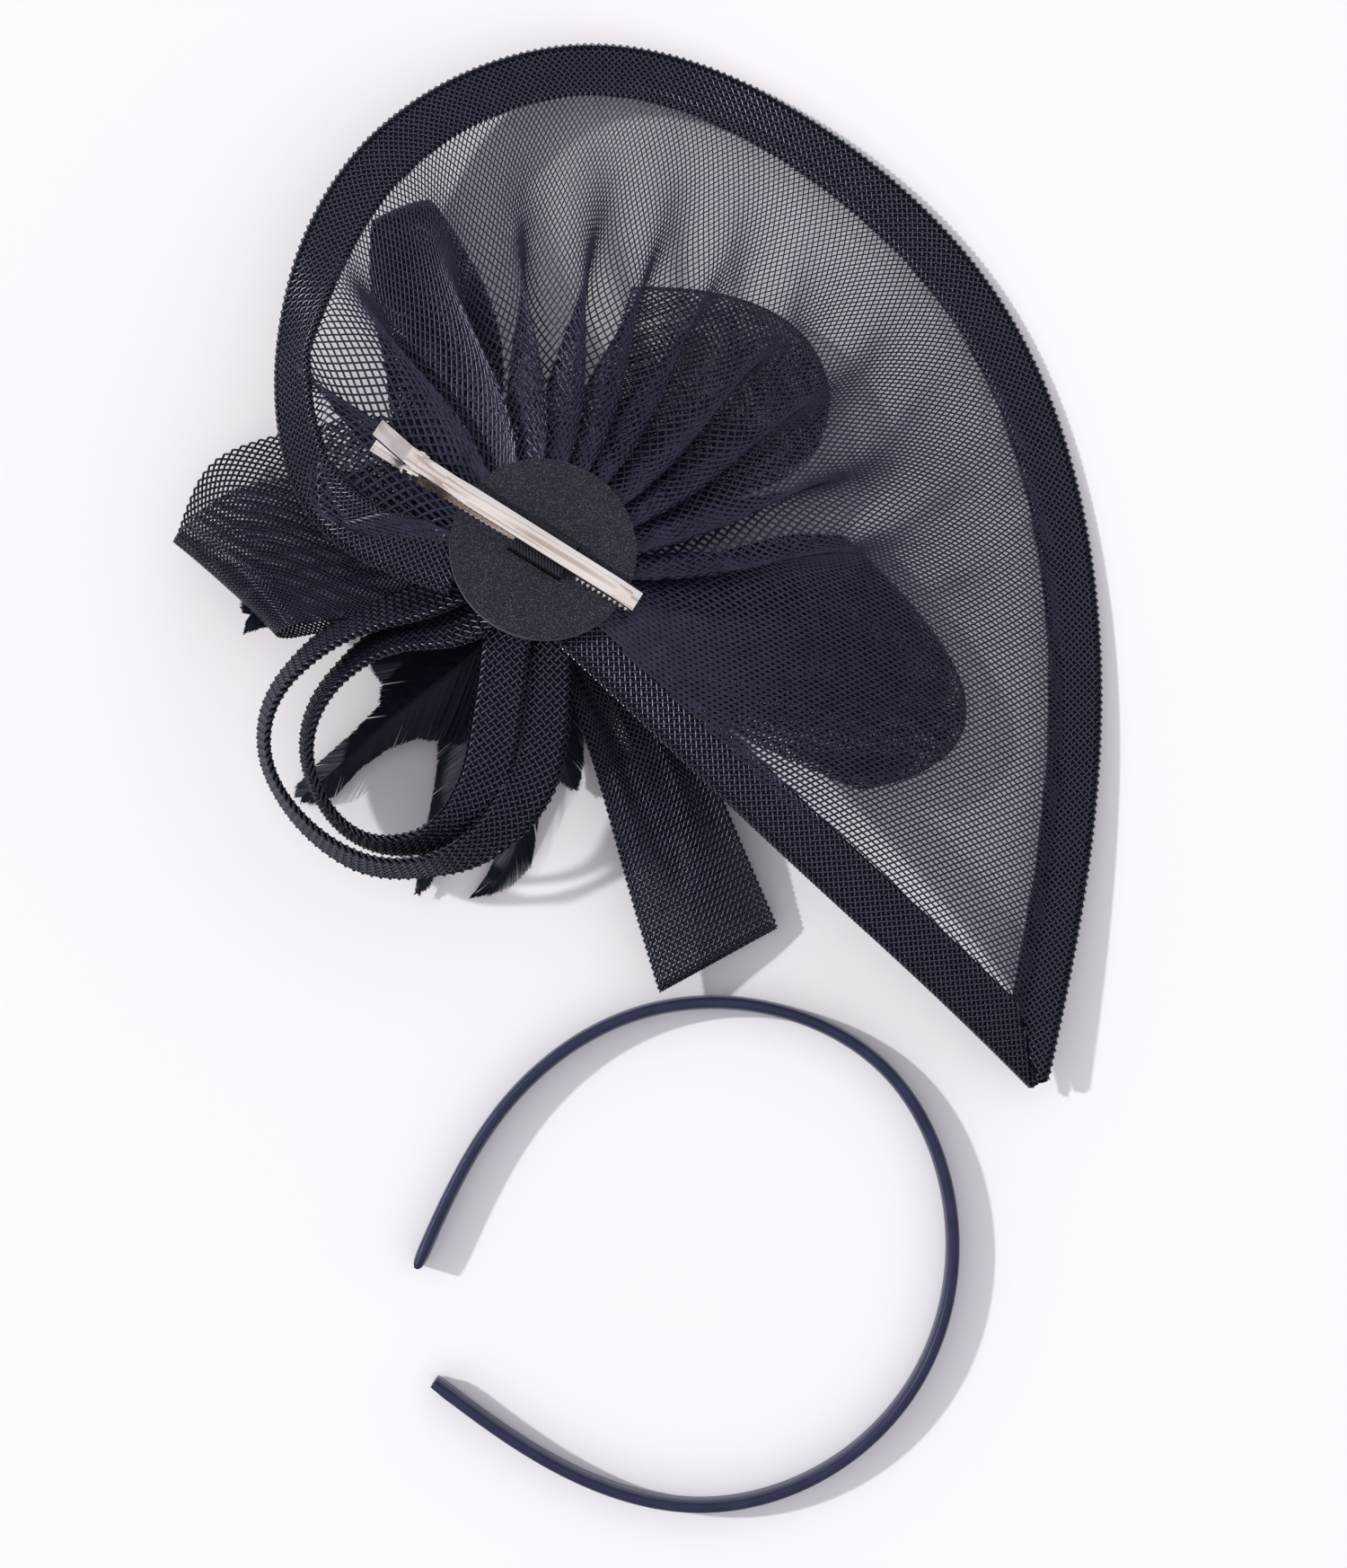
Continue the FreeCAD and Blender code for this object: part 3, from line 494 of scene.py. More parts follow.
# How deep the threads stay square to the rim, and how that is solved for.
RIM_HOLD = 55.0
RAY_ROUNDS, RAY_KEEP, RAY_TAKE = 24, 0.4, 0.6


def leaf_rays(s, w):
    """The rim distance and the cloth's depth along the spoke for a point of the cut cloth,
    whose threads stay square to the rim beside it and follow the gathers further in."""
    guess = np.clip(s, 0, RIM.length)
    for _ in range(RAY_ROUNDS):
        deep = w / np.interp(guess, SPOKE_AT, SPOKE_SQUARE)
        held = RIM_HOLD * (1 - np.exp(-deep / RIM_HOLD))
        moved = s - held * np.interp(guess, SPOKE_AT, SPOKE_SLANT)
        guess = RAY_KEEP * guess + RAY_TAKE * moved
    return guess, w / np.interp(guess, SPOKE_AT, SPOKE_SQUARE)


def leaf_place(s, w):
    """s runs along the rim from the tip and w into the leaf, both in the cloth."""
    s, deep = leaf_rays(s, w)
    s = np.clip(s, 0, RIM.length)
    rim, ahead, reach, _, square, angle = spoke_of(s)
    share = np.interp(deep / reach, DEPTH_CLOTH, DEPTH_SHARE)
    depth = share * reach
    turn = rim_turn(s)
    edge = BINDING_WIDE / square
    inside = edge * np.cos(turn) + (depth - edge) * (reach - edge * np.cos(turn)) / (reach - edge)
    shown = np.where(depth < edge, depth * np.cos(turn), inside)
    plan = rim + ahead * shown[:, None]
    height = drape(plan) - np.sin(turn) * np.maximum(edge - depth, 0) * square
    # Knife pleats fan out of the gathered root and die away towards the rim.
    phase = 2 * math.pi * np.interp(np.degrees(angle), PLEATS, np.arange(len(PLEATS)))
    left = reach * (1 - share)
    strong = np.exp(-((left / PLEAT_REACH) ** 2))
    wide = np.exp(-((left / SWELL_REACH) ** 2)) * (1 - np.exp(-((left / SWELL_FROM) ** 2)))
    around = np.stack([-ahead[:, 1], ahead[:, 0]], -1)
    radius = np.linalg.norm(plan, axis=-1)
    gap = np.radians((PLEATS[-1] - PLEATS[0]) / (len(PLEATS) - 1)) * radius
    plan = plan + around * (PLEAT_FOLD * gap * strong * np.sin(phase))[:, None]
    height = height + PLEAT_TALL * strong * np.sin(phase)
    height = height + SWELL_TALL * wide * np.sin(phase + SWELL_LAG)
    return np.concatenate([plan, height[:, None]], 1)


def leaf_inside(cloth_s, cloth_w):
    """True where the cloth lies between the bindings and the gathered root."""
    s, deep = leaf_rays(cloth_s, cloth_w)
    _, _, reach, _, square, _ = spoke_of(np.clip(s, 0, RIM.length))
    share = np.interp(deep / reach, DEPTH_CLOTH, DEPTH_SHARE)
    plan = leaf_place(cloth_s, cloth_w)
    edge = np.interp(plan[:, 0], LOWER_EDGE.points[:, 0], LOWER_EDGE.points[:, 1])
    above = (plan[:, 1] > edge + BINDING_WIDE - TUCK) | (s > RIM.length / 2)
    along_rim = (s > 0) & (s < RIM.length)
    past_binding = share * reach * square > BINDING_WIDE - TUCK
    return along_rim & past_binding & (share < ROOT_CUT) & above


def leaf_strand(cloth_s, cloth_w):
    """Strand width on the leaf: the crowded strands by the root are pressed flat and wide."""
    s, deep = leaf_rays(cloth_s, cloth_w)
    _, _, reach, _, _, _ = spoke_of(np.clip(s, 0, RIM.length))
    left = reach * (1 - np.interp(deep / reach, DEPTH_CLOTH, DEPTH_SHARE))
    return np.interp(s, *LEAF_STRAND) * (1 + ROOT_WIDENS * np.exp(-((left / PLEAT_REACH) ** 2)))


# The cloth's deepest point and its spread past the rim's ends, and where it stops short of the root.
LEAF_DEEPEST, LEAF_SPREAD = 215.0, 60.0
ROOT_CUT = 0.995
leaf = Cloth()
leaf_span = (-LEAF_SPREAD, RIM.length + LEAF_SPREAD, 0, LEAF_DEEPEST)
weave(
    leaf, leaf_place, leaf_span, leaf_inside, LEAF_PITCH, LEAF_LEAN, leaf_strand, LEAF_RISE, closed=False
)
leaf_mesh = finished("leaf_cloth", leaf, SINAMAY)


# How far mitred ends overlap, how far their point is cut off, and that cut's slope.
MITRE_LAP, TIP_BLUNT, BLUNT_SLOPE = 0.9, 4.0, 0.5
BIAS = (math.radians(-45), math.radians(45))


def section_point(around, wide, thick):
    """A point on a flattened oval of given width and thickness, by distance round it."""
    r, flat = thick / 2, wide - thick
    total = 2 * flat + 2 * math.pi * r
    c = np.mod(around, total)
    x, z = np.empty_like(c), np.empty_like(c)
    top = c < flat
    x[top], z[top] = c[top] - flat / 2, r
    bend = (c >= flat) & (c < flat + math.pi * r)
    a = (c[bend] - flat) / r
    x[bend], z[bend] = flat / 2 + r * np.sin(a), r * np.cos(a)
    low = (c >= flat + math.pi * r) & (c < 2 * flat + math.pi * r)
    x[low], z[low] = flat / 2 - (c[low] - flat - math.pi * r), -r
    rest = c >= 2 * flat + math.pi * r
    a = (c[rest] - 2 * flat - math.pi * r) / r
    x[rest], z[rest] = -flat / 2 - r * np.sin(a), -r * np.cos(a)
    return x, z


# A strip's stitching groove: depth and place as shares of its thickness and width, and reach.
GROOVE_DEEP, GROOVE_AT, GROOVE_HALF = 0.22, 0.27, 0.5
# A strip's core: how far it lies below the weave, and its rings' corners and spacing.
CORE_SUNK, CORE_CORNERS, CORE_STEP = 0.12, 20, 2.2


def folded_strip(name, frame_at, length, section, mitre, made, weaving):
    """A folded bias strip: a dense core, coloured darker than the weave as painted shade, with the weave
    standing on it all the way round.
    frame_at gives the strip's middle, across and up directions by distance, section is its
    width and thickness, mitre is how far its start or end is cut back per millimetre across
    it, and weaving is a strand's width, spacing and rise."""
    (wide, thick), (strand, pitch, rise) = section, weaving
    cloth = Cloth()
    around = 2 * (wide - thick) + math.pi * thick

    def ends(x):
        across = x + wide / 2
        blunt = TIP_BLUNT - BLUNT_SLOPE * across
        first = np.maximum(mitre[0] * across - MITRE_LAP, blunt if mitre[0] else 0)
        last = np.maximum(mitre[1] * across - MITRE_LAP, blunt if mitre[1] else 0)
        return np.maximum(first, 0), length - np.maximum(last, 0)

    def place(s, c, grow=0.0):
        x, z = section_point(c, wide, thick)
        s = np.clip(s, *ends(x))
        middle, side, up = frame_at(s)
        groove = GROOVE_DEEP * np.exp(-(((x - wide * GROOVE_AT) / GROOVE_HALF) ** 2))
        z = z * (1 - groove) + np.sign(z) * grow
        return middle + side * (x * (1 + 2 * grow / wide))[:, None] + up * z[:, None]

    c = np.arange(CORE_CORNERS) * around / CORE_CORNERS
    start, end = ends(section_point(c, wide, thick)[0])
    rings = []
    for share in np.linspace(0, 1, int(length / CORE_STEP)):
        rings.append(place(start + share * (end - start), c, -CORE_SUNK))
    sweep(cloth, np.array(rings))
    shaded_lining_faces = len(cloth.faces)

    def inside(s, c):
        start, end = ends(section_point(c, wide, thick)[0])
        return (s >= start) & (s <= end)

    girth = around * math.sin(BIAS[1])
    fitted = girth / max(1, round(girth / pitch))
    weave(cloth, place, (0, length, 0, around + fitted), inside, (fitted, fitted), BIAS, strand, rise)
    piece = finished(name, cloth, made)
    # The core takes the lining material, darker than the strands: painted shade between the layers.
    piece.data.materials.append(SHADED_LINING)
    lined = np.arange(len(cloth.faces)) < shaded_lining_faces
    piece.data.polygons.foreach_set("material_index", lined.astype(int))
    return piece


def rim_frame(s):
    """Middle, across and up directions of the rim binding."""
    along, turn = RIM.along(s), rim_turn(s)
    inward = left_of(along)
    plan = RIM.at(s) + inward * (BINDING_WIDE / 2 * np.cos(turn))[:, None]
    height = drape(plan) - np.sin(turn) * BINDING_WIDE / 2
    return np.concatenate([plan, height[:, None]], 1), *leaning(inward, turn)


def lower_frame(s):
    """Middle, across and up directions of the lower binding."""
    inward = left_of(LOWER_EDGE.along(s))
    plan = LOWER_EDGE.at(s) + inward * BINDING_WIDE / 2
    side = np.concatenate([inward, np.zeros((len(s), 1))], 1)
    up = np.zeros_like(side) + (0.0, 0.0, 1.0)
    return np.concatenate([plan, drape(plan)[:, None]], 1), side, up


# The bindings meet at the tip on a mitre that halves the angle between them.
lower_length = LOWER_EDGE.length
rim_end = RIM.along(np.zeros(1))[0]
lower_end = LOWER_EDGE.along(np.array([lower_length]))[0]
MITRE = 1 / math.tan(math.acos(-np.dot(rim_end, lower_end)) / 2)
BINDING_SECTION = (BINDING_WIDE, BINDING_THICK)
# Strand width, spacing and rise on the bindings.
BINDING_WEAVE = (0.74, 1.26, 0.27)
rim_binding = folded_strip(
    "rim_binding_cloth", rim_frame, RIM.length, BINDING_SECTION, (MITRE, 0), BINDING, BINDING_WEAVE
)
lower_binding = folded_strip(
    "lower_binding_cloth", lower_frame, lower_length, BINDING_SECTION, (0, MITRE), BINDING, BINDING_WEAVE
)

# ---- cloth loops

LOOP_PITCH = 1.25
LOOP_RISE = 0.17
# Each loop is a band of cloth folded back on itself. left and right are its rails in plan, heading
# and slope its direction in degrees, level its height at the root and bulge its fold's radius.
LOOPS = {
    "top_left_loop": dict(
        strand=0.6, heading=140, reach=92.5, level=-7.0, slope=1.5, bulge=3.6, bow=1.0, wide=36,
        left=[(-3, 2), (-20, 3), (-48, 10), (-56, 20), (-66, 31), (-79, 51)],
        right=[(-5, 7), (-12, 10), (-20, 15.5), (-32, 36), (-42, 48), (-55, 56.5), (-70, 64)],
        pleats=2.0, fold=2.2,
    ),
    "round_loop": dict(
        strand=0.42, heading=68, reach=91.0, level=-10.5, slope=1.6, bulge=5.0, bow=12.5, wide=58,
        left=[(-3, 4), (-3, 26), (-9, 46), (-14, 60), (-17, 73)],
        right=[(6, 4), (14, 20), (27, 34), (38, 49), (43, 60), (41.5, 70), (37, 78)],
        pleats=3.0, fold=2.4,
    ),
    "right_loop": dict(
        strand=0.58, heading=13, reach=113.0, level=-13.5, slope=6.6, bulge=5.2, bow=30.0, wide=60,
        left=[(4, 5), (14, 10), (27, 20), (37, 29), (47, 40), (61, 49.5)],
        right=[(4, -1), (30, -7), (52, -8), (78, -6), (96, -2.5)],
        pleats=2.2, fold=3.0,
    ),
    "tail_loop": dict(
        strand=0.74, heading=-30.5, reach=102.5, level=-17.0, slope=17.0, bulge=2.2, bow=0.0, wide=38,
        left=[(4, -5), (15, -15), (35, -30), (57, -48), (80, -67)],
        right=[(9, -2), (29, -4), (52, -10), (73, -22), (97, -37)],
        pleats=2.0, fold=2.0,
    ),
    "left_loop": dict(
        strand=0.57, heading=196, reach=88.0, level=-20.0, slope=8.0, bulge=8.0, bow=-1.5, wide=60,
        left=[(-8, -1), (-25, 6), (-41.5, 6.9), (-53.4, -2.9), (-64.4, -11.8), (-72, -19), (-79.5, -38)],
        right=[(-5, -6), (-12, -14), (-24.6, -28.9), (-37, -39), (-45.2, -45.5)],
        under_left=[(-8, 3), (-30, 14), (-52, 17.8), (-67, 6),
                    (-79.4, -7), (-83.2, -14), (-83, -25), (-79.5, -38)],
        pleats=2.5, fold=2.5,
    ),
}
# Half the gap between a loop's two layers where they are gathered.
ROOT_HALF = 1.3
# Gathers: where they start on the top and under layers, their reach as a share of the loop's, and
# how much they crowd the cloth.
GATHER_START, GATHER_REACH, GATHER_CROWD = (0.4, 2.3), 0.42, 0.8
# Folds: where they are deepest and over what share of the loop, the width below which they fade,
# and their height.
FOLD_AT, FOLD_OVER, FOLD_FADE, FOLD_TALL = 0.35, 0.3, 12, 0.5
# The fold is fuller in its middle than at its sides.
SIDE_FULL, MIDDLE_FULL = 0.8, 0.2
# Slow waves along and across the band.
WAVE_TALL, WAVE_LONG = 0.35, 11


def loop_shape(spec):
    """The place function and cloth length of one folded band, gathered at its root."""
    reach, bulge = spec["reach"], spec["bulge"]
    straight = math.hypot(reach - bulge, bulge - ROOT_HALF)
    half = straight + bulge * math.pi / 2
    left, right = Line(spec["left"]), Line(spec["right"])
    under = Line(spec["under_left"]) if "under_left" in spec else left
    heading = math.radians(spec["heading"])
    out = np.array([math.cos(heading), math.sin(heading)])

    def place(u, v):
        u = np.clip(u, 0, 2 * half)
        top = u <= half
        d = np.where(top, u, 2 * half - u)
        bend = np.clip((d - straight) / bulge, 0, math.pi / 2)
        line = np.clip(d / straight, 0, 1)
        rho = line * (reach - bulge) + bulge * np.sin(bend)
        off = np.where(bend > 0, bulge * np.cos(bend), ROOT_HALF + (bulge - ROOT_HALF) * line)
        share = rho / reach
        q = v / spec["wide"]
        sign = np.where(top, 1.0, -1.0)
        phase = 2 * math.pi * spec["pleats"] * q + np.where(top, *GATHER_START)
        strong = np.exp(-((share / GATHER_REACH) ** 2))
        rail = np.where(top[:, None], left.at(share * left.length), under.at(share * under.length))
        other = right.at(share * right.length)
        gap = np.linalg.norm(other - rail, axis=-1)
        q = q + GATHER_CROWD / (2 * math.pi * spec["pleats"]) * strong * np.sin(phase)
        plan = rail + (other - rail) * q[:, None]
        plan = plan + out * (spec["bow"] * 4 * q * (1 - q) * share**3)[:, None]
        height = spec["level"] - math.tan(math.radians(spec["slope"])) * (plan @ out)
        full = SIDE_FULL + MIDDLE_FULL * np.sin(math.pi * np.clip(q, 0, 1))
        height = height + sign * off * full
        near_fold = np.exp(-(((share - FOLD_AT) / FOLD_OVER) ** 2))
        depth = spec["fold"] * near_fold * np.minimum(gap / FOLD_FADE, 1)
        height = height + FOLD_TALL * depth * np.sin(phase)
        waves = np.sin(u / WAVE_LONG + 5 * q) * np.sin(3.1 * q + 0.7)
        height = height + WAVE_TALL * waves * share
        return np.concatenate([plan, height[:, None]], 1)

    return place, 2 * half


def always(s, w):
    """True for every crossing, for cloth that is used whole."""
    return np.ones(len(s), bool)


loops = {}
for loop_name, spec in LOOPS.items():
    cloth = Cloth()
    place, cloth_length = loop_shape(spec)
    weave(
        cloth, place, (0, cloth_length, 0, spec["wide"]), always,
        (LOOP_PITCH, LOOP_PITCH), BIAS, spec["strand"], LOOP_RISE,
    )
    piece = finished(loop_name + "_cloth", cloth, LOOP_CLOTH)
    loops[loop_name] = (piece, cloth_length)

# ---- open loops of folded strip

# The plane that the two strips are bent in, in the pad frame.
TAPE_ORIGIN = np.array([0.0, -20.0, -11.0])
TAPE_AXES = turned(0, math.radians(24.0))
TAPE_WIDE, TAPE_THICK = 12.6, 1.1
TAPE_WEAVE = (0.92, 1.46, 0.33)
DROP_FROM, DROP_OVER = 0.55, 0.2
# line is the middle of the strip in the loops' plane, and lean is (share of its length, degrees).
TAPES = {
    "outer_tape_loop": dict(
        line=[(-12, 8), (-17, -1), (-30.5, -18), (-36.5, -32), (-37.5, -45), (-32.5, -56),
              (-22, -63.5), (-8, -67), (3, -66), (12, -61.5), (18.7, -55.5), (23.5, -48),
              (26.0, -38), (26.2, -28), (23.7, -18.7), (19.6, -9.8), (15.3, -2.1), (11, 4.2)],
        lean=[(0, 30), (0.12, 60), (0.26, 71), (0.42, 68), (0.55, 60), (0.64, 62),
              (0.72, 40), (0.8, 14), (1, 6)],
        drop=-2.6,
    ),
    "inner_tape_loop": dict(
        line=[(-4, 8), (-7, -2), (-19.5, -14), (-26.5, -28), (-27.5, -41), (-23.5, -51),
              (-15.5, -58), (-6.5, -61.3), (2.5, -60.3), (9.5, -55.8), (14.4, -50),
              (16.9, -43.4), (17.1, -36.1), (15.2, -27.8),
              (11.1, -17.5), (6.8, -7.3), (3.6, -0.3), (2, 7)],
        lean=[(0, 24), (0.12, 50), (0.26, 70), (0.42, 69), (0.54, 66), (0.62, 58),
              (0.72, 20), (0.84, 2), (1, 2)],
    ),
}


def tape_frame(spec):
    """The frame function of one strip, and its middle line."""
    line = Line(spec["line"])
    shares, angles = np.array(spec["lean"], float).T
    drop = spec.get("drop", 0.0)

    def frame_at(s):
        lean = np.radians(np.interp(s / line.length, shares, angles))
        inward = left_of(line.along(s))
        level = np.zeros((len(s), 1))
        flat = np.concatenate([line.at(s), level], 1)
        # One strip runs under the other where they come back together.
        flat[:, 2] += drop * ease((s / line.length - DROP_FROM) / DROP_OVER)
        side, up = leaning(inward, lean)
        return flat @ TAPE_AXES.T + TAPE_ORIGIN, side @ TAPE_AXES.T, up @ TAPE_AXES.T

    return frame_at, line


tapes = {}
for tape_name, spec in TAPES.items():
    frame_at, line = tape_frame(spec)
    piece = folded_strip(
        tape_name + "_strip", frame_at, line.length, (TAPE_WIDE, TAPE_THICK), (0, 0), TAPE, TAPE_WEAVE
    )
    tapes[tape_name] = (piece, line.length)

# ---- feathers

BARB_GAP, BARB_WIDE, BARB_STEPS = 0.27, 0.60, 7
feather_dye = material(
    "feather_dye", Specular_IOR_Level=0.22, Specular_Tint=NAVY_GLOSS,
    Sheen_Weight=0.08, Sheen_Roughness=0.35, Sheen_Tint=(0.35, 0.42, 0.62, 1.0),
)
streaks = noise(feather_dye, 900.0, 3.0)
FEATHER_DYES = [(0.3, (0.004, 0.0055, 0.011)), (0.75, (0.010, 0.013, 0.024))]
tint(feather_dye, streaks, FEATHER_DYES)
roughen(feather_dye, streaks, 0.28, 0.5)

# Each vane lies in its own plane: heading and pitch in degrees, x along the feather.
LEFT_VANE = dict(
    rachis=[(4, 5.0), (27, 6.0), (53, 6.0), (67, 7.0), (81, 7.5)],
    outline=[(2, 0), (14, -8), (30, -12), (44, -13.5), (47.3, -9), (47.3, -2.6),
             (50.8, 1.4), (61.5, 2.7), (71.3, 3.2), (80.6, 4.4), (83, 7), (80, 10.4),
             (74, 12.5), (64.1, 10.8), (56, 11.3), (48.5, 13.4), (45.1, 16.6),
             (40, 21.5), (30, 22), (14, 17), (2, 12)],
)
MIDDLE_VANE = dict(
    rachis=[(12, 1), (27, 3.8), (48, 5.2), (68, 5.8), (84, 6.3)],
    outline=[(12, -3), (30, -5), (38.6, -4), (47.5, -4.4), (51.7, -2.4), (58, -0.6),
             (65, 1.0), (74, 2.9), (85.2, 6.2), (81, 8.3), (74.4, 8.6), (59, 10),
             (44, 10), (12, 6)],
)
RIGHT_VANE = dict(
    rachis=[(10, 1), (25, 5), (43, 7.6), (57, 7.0), (70, 5.2), (79.5, 0.8)],
    outline=[(10, -3), (30, -4), (39, 0.5), (50, 3.2), (57, 3.4), (66, 2.4),
             (74.5, 0.2), (81, -3.2), (79.6, 1.6), (76.5, 6.6), (71, 10.6),
             (63, 10.8), (56, 10.6), (48, 13), (39, 13.5), (20, 9)],
    sweepback=14,
)
SHORT_VANE = dict(
    rachis=[(12, 4), (30, 11), (44, 15), (50, 18)],
    outline=[(12, 2), (30, 7), (42, 11.5), (48.5, 14), (51, 19), (44, 19.5),
             (36, 18.5), (22, 14), (12, 9)],
)
FEATHERS = {
    "left_feather": dict(heading=247, level=-24.0, pitch=26.0, vanes=[LEFT_VANE]),
    "middle_feather": dict(heading=277, level=-25.6, pitch=23.4, vanes=[MIDDLE_VANE]),
    "right_feather": dict(heading=294, level=-27.4, pitch=22.6, vanes=[RIGHT_VANE, SHORT_VANE]),
}
# Barbs leave the quill at this angle, in degrees, and curve towards its tip.
BARB_LEAN, BARB_CURVE = 33.0, 0.006
LONGEST_BARB, SHORTEST_KEPT, SHORTEST_BARB = 34.0, 1.0, 0.8
# How uneven the barbs are in place, length, level and roll.
PLACE_SPREAD, LENGTH_SPREAD, LEVEL_SPREAD, ROLL_SPREAD = 0.05, 0.18, 0.04, 0.05
# The chance that a barb starts a new lock, and how uneven the locks' angles are, in degrees.
LOCK_CHANCE, LOCK_SPREAD = 0.07, 0.9
# A barb's width at its tip as a share of that at its root, its sag, and its roll.
BARB_TAPER, BARB_SAG, BARB_ROLL = 0.5, 0.012, 0.16
QUILL_CORNERS, QUILL_STEPS = 6, 24
QUILL_RADIUS = (0.55, 0.12)


def in_outline(points, outline):
    """True for the points inside a closed polygon."""
    inside = np.zeros(points.shape[:-1], bool)
    for (x0, y0), (x1, y1) in zip(outline, outline[1:] + outline[:1]):
        if y0 == y1:
            continue
        crosses = (y0 > points[..., 1]) != (y1 > points[..., 1])
        inside ^= crosses & (points[..., 0] < (x1 - x0) * (points[..., 1] - y0) / (y1 - y0) + x0)
    return inside


def add_vane(cloth, vane, lay, rng):
    """A quill with flat barbs that hook together in locks and end at the vane's outline."""
    line = Line(vane["rachis"])
    steps = np.arange(0, line.length, BARB_GAP)
    for side in (1, -1):
        d = steps + rng.uniform(-PLACE_SPREAD, PLACE_SPREAD, len(steps))
        start, along = line.at(d), line.along(d)
        lock = np.cumsum(rng.random(len(d)) < LOCK_CHANCE)
        swing = rng.normal(0, LOCK_SPREAD, lock[-1] + 1)[lock]
        lean = np.radians(BARB_LEAN - vane.get("sweepback", 0) * d / line.length + swing)
        across = left_of(along) * side
        out = along * np.cos(lean)[:, None] + across * np.sin(lean)[:, None]
        reach = np.linspace(0.3, LONGEST_BARB, 90)
        curve = along[:, None] * (BARB_CURVE * reach**2)[None, :, None]
        path = start[:, None] + out[:, None] * reach[None, :, None] + curve
        outside = ~in_outline(path, vane["outline"])
        long = np.where(outside.any(1), reach[outside.argmax(1)], reach[-1])
        kept = long > SHORTEST_KEPT
        long = np.maximum(long + rng.normal(0, LENGTH_SPREAD, len(long)), SHORTEST_BARB)
        t = np.linspace(0, 1, BARB_STEPS)[None, :] * long[:, None]
        curve = along[:, None] * (BARB_CURVE * t**2)[..., None]
        middle = start[:, None] + out[:, None] * t[..., None] + curve
        wide = BARB_WIDE / 2 * np.linspace(1, BARB_TAPER, BARB_STEPS)
        tip_level = rng.normal(0, LEVEL_SPREAD, (len(d), 1))
        level = -BARB_SAG * t**1.5 + tip_level * np.linspace(0, 1, BARB_STEPS)
        level = level + 0.05 * np.sin(d / 3.0)[:, None] * t / 6
        roll = BARB_ROLL + rng.normal(0, ROLL_SPREAD, (len(d), 1))
        sides = []
        for edge in (-1, 1):
            at = middle + along[:, None] * (edge * wide)[None, :, None]
            sides.append(np.concatenate([at, (level + edge * roll * wide)[..., None]], -1))
        points = np.stack(sides, 2)[kept]
        count = len(points)
        grid = np.arange(count * BARB_STEPS * 2).reshape(count, BARB_STEPS, 2)
        a, b = grid[:, :-1], grid[:, 1:]
        faces = np.stack([a[..., 0], a[..., 1], b[..., 1], b[..., 0]], -1).reshape(-1, 4)
        cloth.add(lay(points.reshape(-1, 3)), faces)
    s = np.linspace(0, line.length, QUILL_STEPS)
    middle, across = line.at(s), left_of(line.along(s))
    ring = np.arange(QUILL_CORNERS) * 2 * math.pi / QUILL_CORNERS
    radius = np.linspace(*QUILL_RADIUS, QUILL_STEPS)[:, None]
    flat = middle[:, None] + across[:, None] * (np.cos(ring) * radius)[..., None]
    quill = np.concatenate([flat, (np.sin(ring) * radius + 0.1)[..., None]], -1)
    sweep(cloth, lay(quill.reshape(-1, 3)).reshape(quill.shape))


def feather_lay(heading, level, pitch):
    """A function that lays a flat feather out from the pad, with its angles in degrees."""
    axes = turned(2, math.radians(heading)) @ turned(1, math.radians(pitch))

    def lay(points):
        return points @ axes.T + (0.0, 0.0, level)

    return lay


rng = np.random.default_rng(SEED)
feathers = {}
for feather_name, spec in FEATHERS.items():
    cloth = Cloth()
    for vane in spec["vanes"]:
        add_vane(cloth, vane, feather_lay(spec["heading"], spec["level"], spec["pitch"]), rng)
    feathers[feather_name] = finished(feather_name + "_vane", cloth, feather_dye)
# A small tuft shows past the left loop.
TUFT_TURN, TUFT_AT = turned(2, math.radians(228.0)), (-46.0, -33.0, -33.0)
TUFT = dict(
    rachis=[(0, 0), (8, 0.5), (13, 1)],
    outline=[(0, -4), (13, -4.5), (15, -1), (14.5, 2), (16, 5), (6, 5), (0, 3)],
)
tuft_cloth = Cloth()
add_vane(tuft_cloth, TUFT, lambda points: points @ TUFT_TURN.T + TUFT_AT, rng)
feather_tuft = finished("feather_tuft", tuft_cloth, feather_dye)

# ---- front knot

KNOT_RADIUS, KNOT_TOP, KNOT_TALL = 9.3, -24.2, 16.2
KNOT_ROUND = KNOT_RADIUS * 2 * math.pi
KNOT_DEEP = 30.0
KNOT_PITCH = KNOT_ROUND / 48
KNOT_STRAND, KNOT_RISE = 0.6, 0.14
KNOT_CORNERS, KNOT_LEVELS, KNOT_EDGE = 72, 30, 2.2
# Turns of wrapped cloth that stand out: height, turns round, climb and start.
KNOT_INSET = 0.8
KNOT_WRAPS = ((0.45, 2.5, 2.2, 0.0), (0.3, 1.5, -3.1, 1.0))
# How square the knot's outline is, in plan and in height.
KNOT_FULL_ROUND, KNOT_FULL_TALL = 0.62, 0.8


def knot_place(s, w, grow=0.0):
    """A round knot: s runs round it and w from its top to its foot."""
    angle = s / KNOT_RADIUS
    rise = math.pi * (0.5 - np.clip(w / KNOT_DEEP, 0, 1))
    wraps = np.zeros_like(angle)
    for tall, turns, climb, start in KNOT_WRAPS:
        wraps = wraps + tall * np.abs(np.sin(turns * angle + climb * rise + start))
    radius = (KNOT_RADIUS - KNOT_INSET + wraps + grow) * np.abs(np.cos(rise)) ** KNOT_FULL_ROUND
    up = np.sign(np.sin(rise)) * np.abs(np.sin(rise)) ** KNOT_FULL_TALL
    height = KNOT_TOP - KNOT_TALL / 2 + (KNOT_TALL / 2 + grow) * up
    return np.stack([radius * np.cos(angle), radius * np.sin(angle), height], -1)


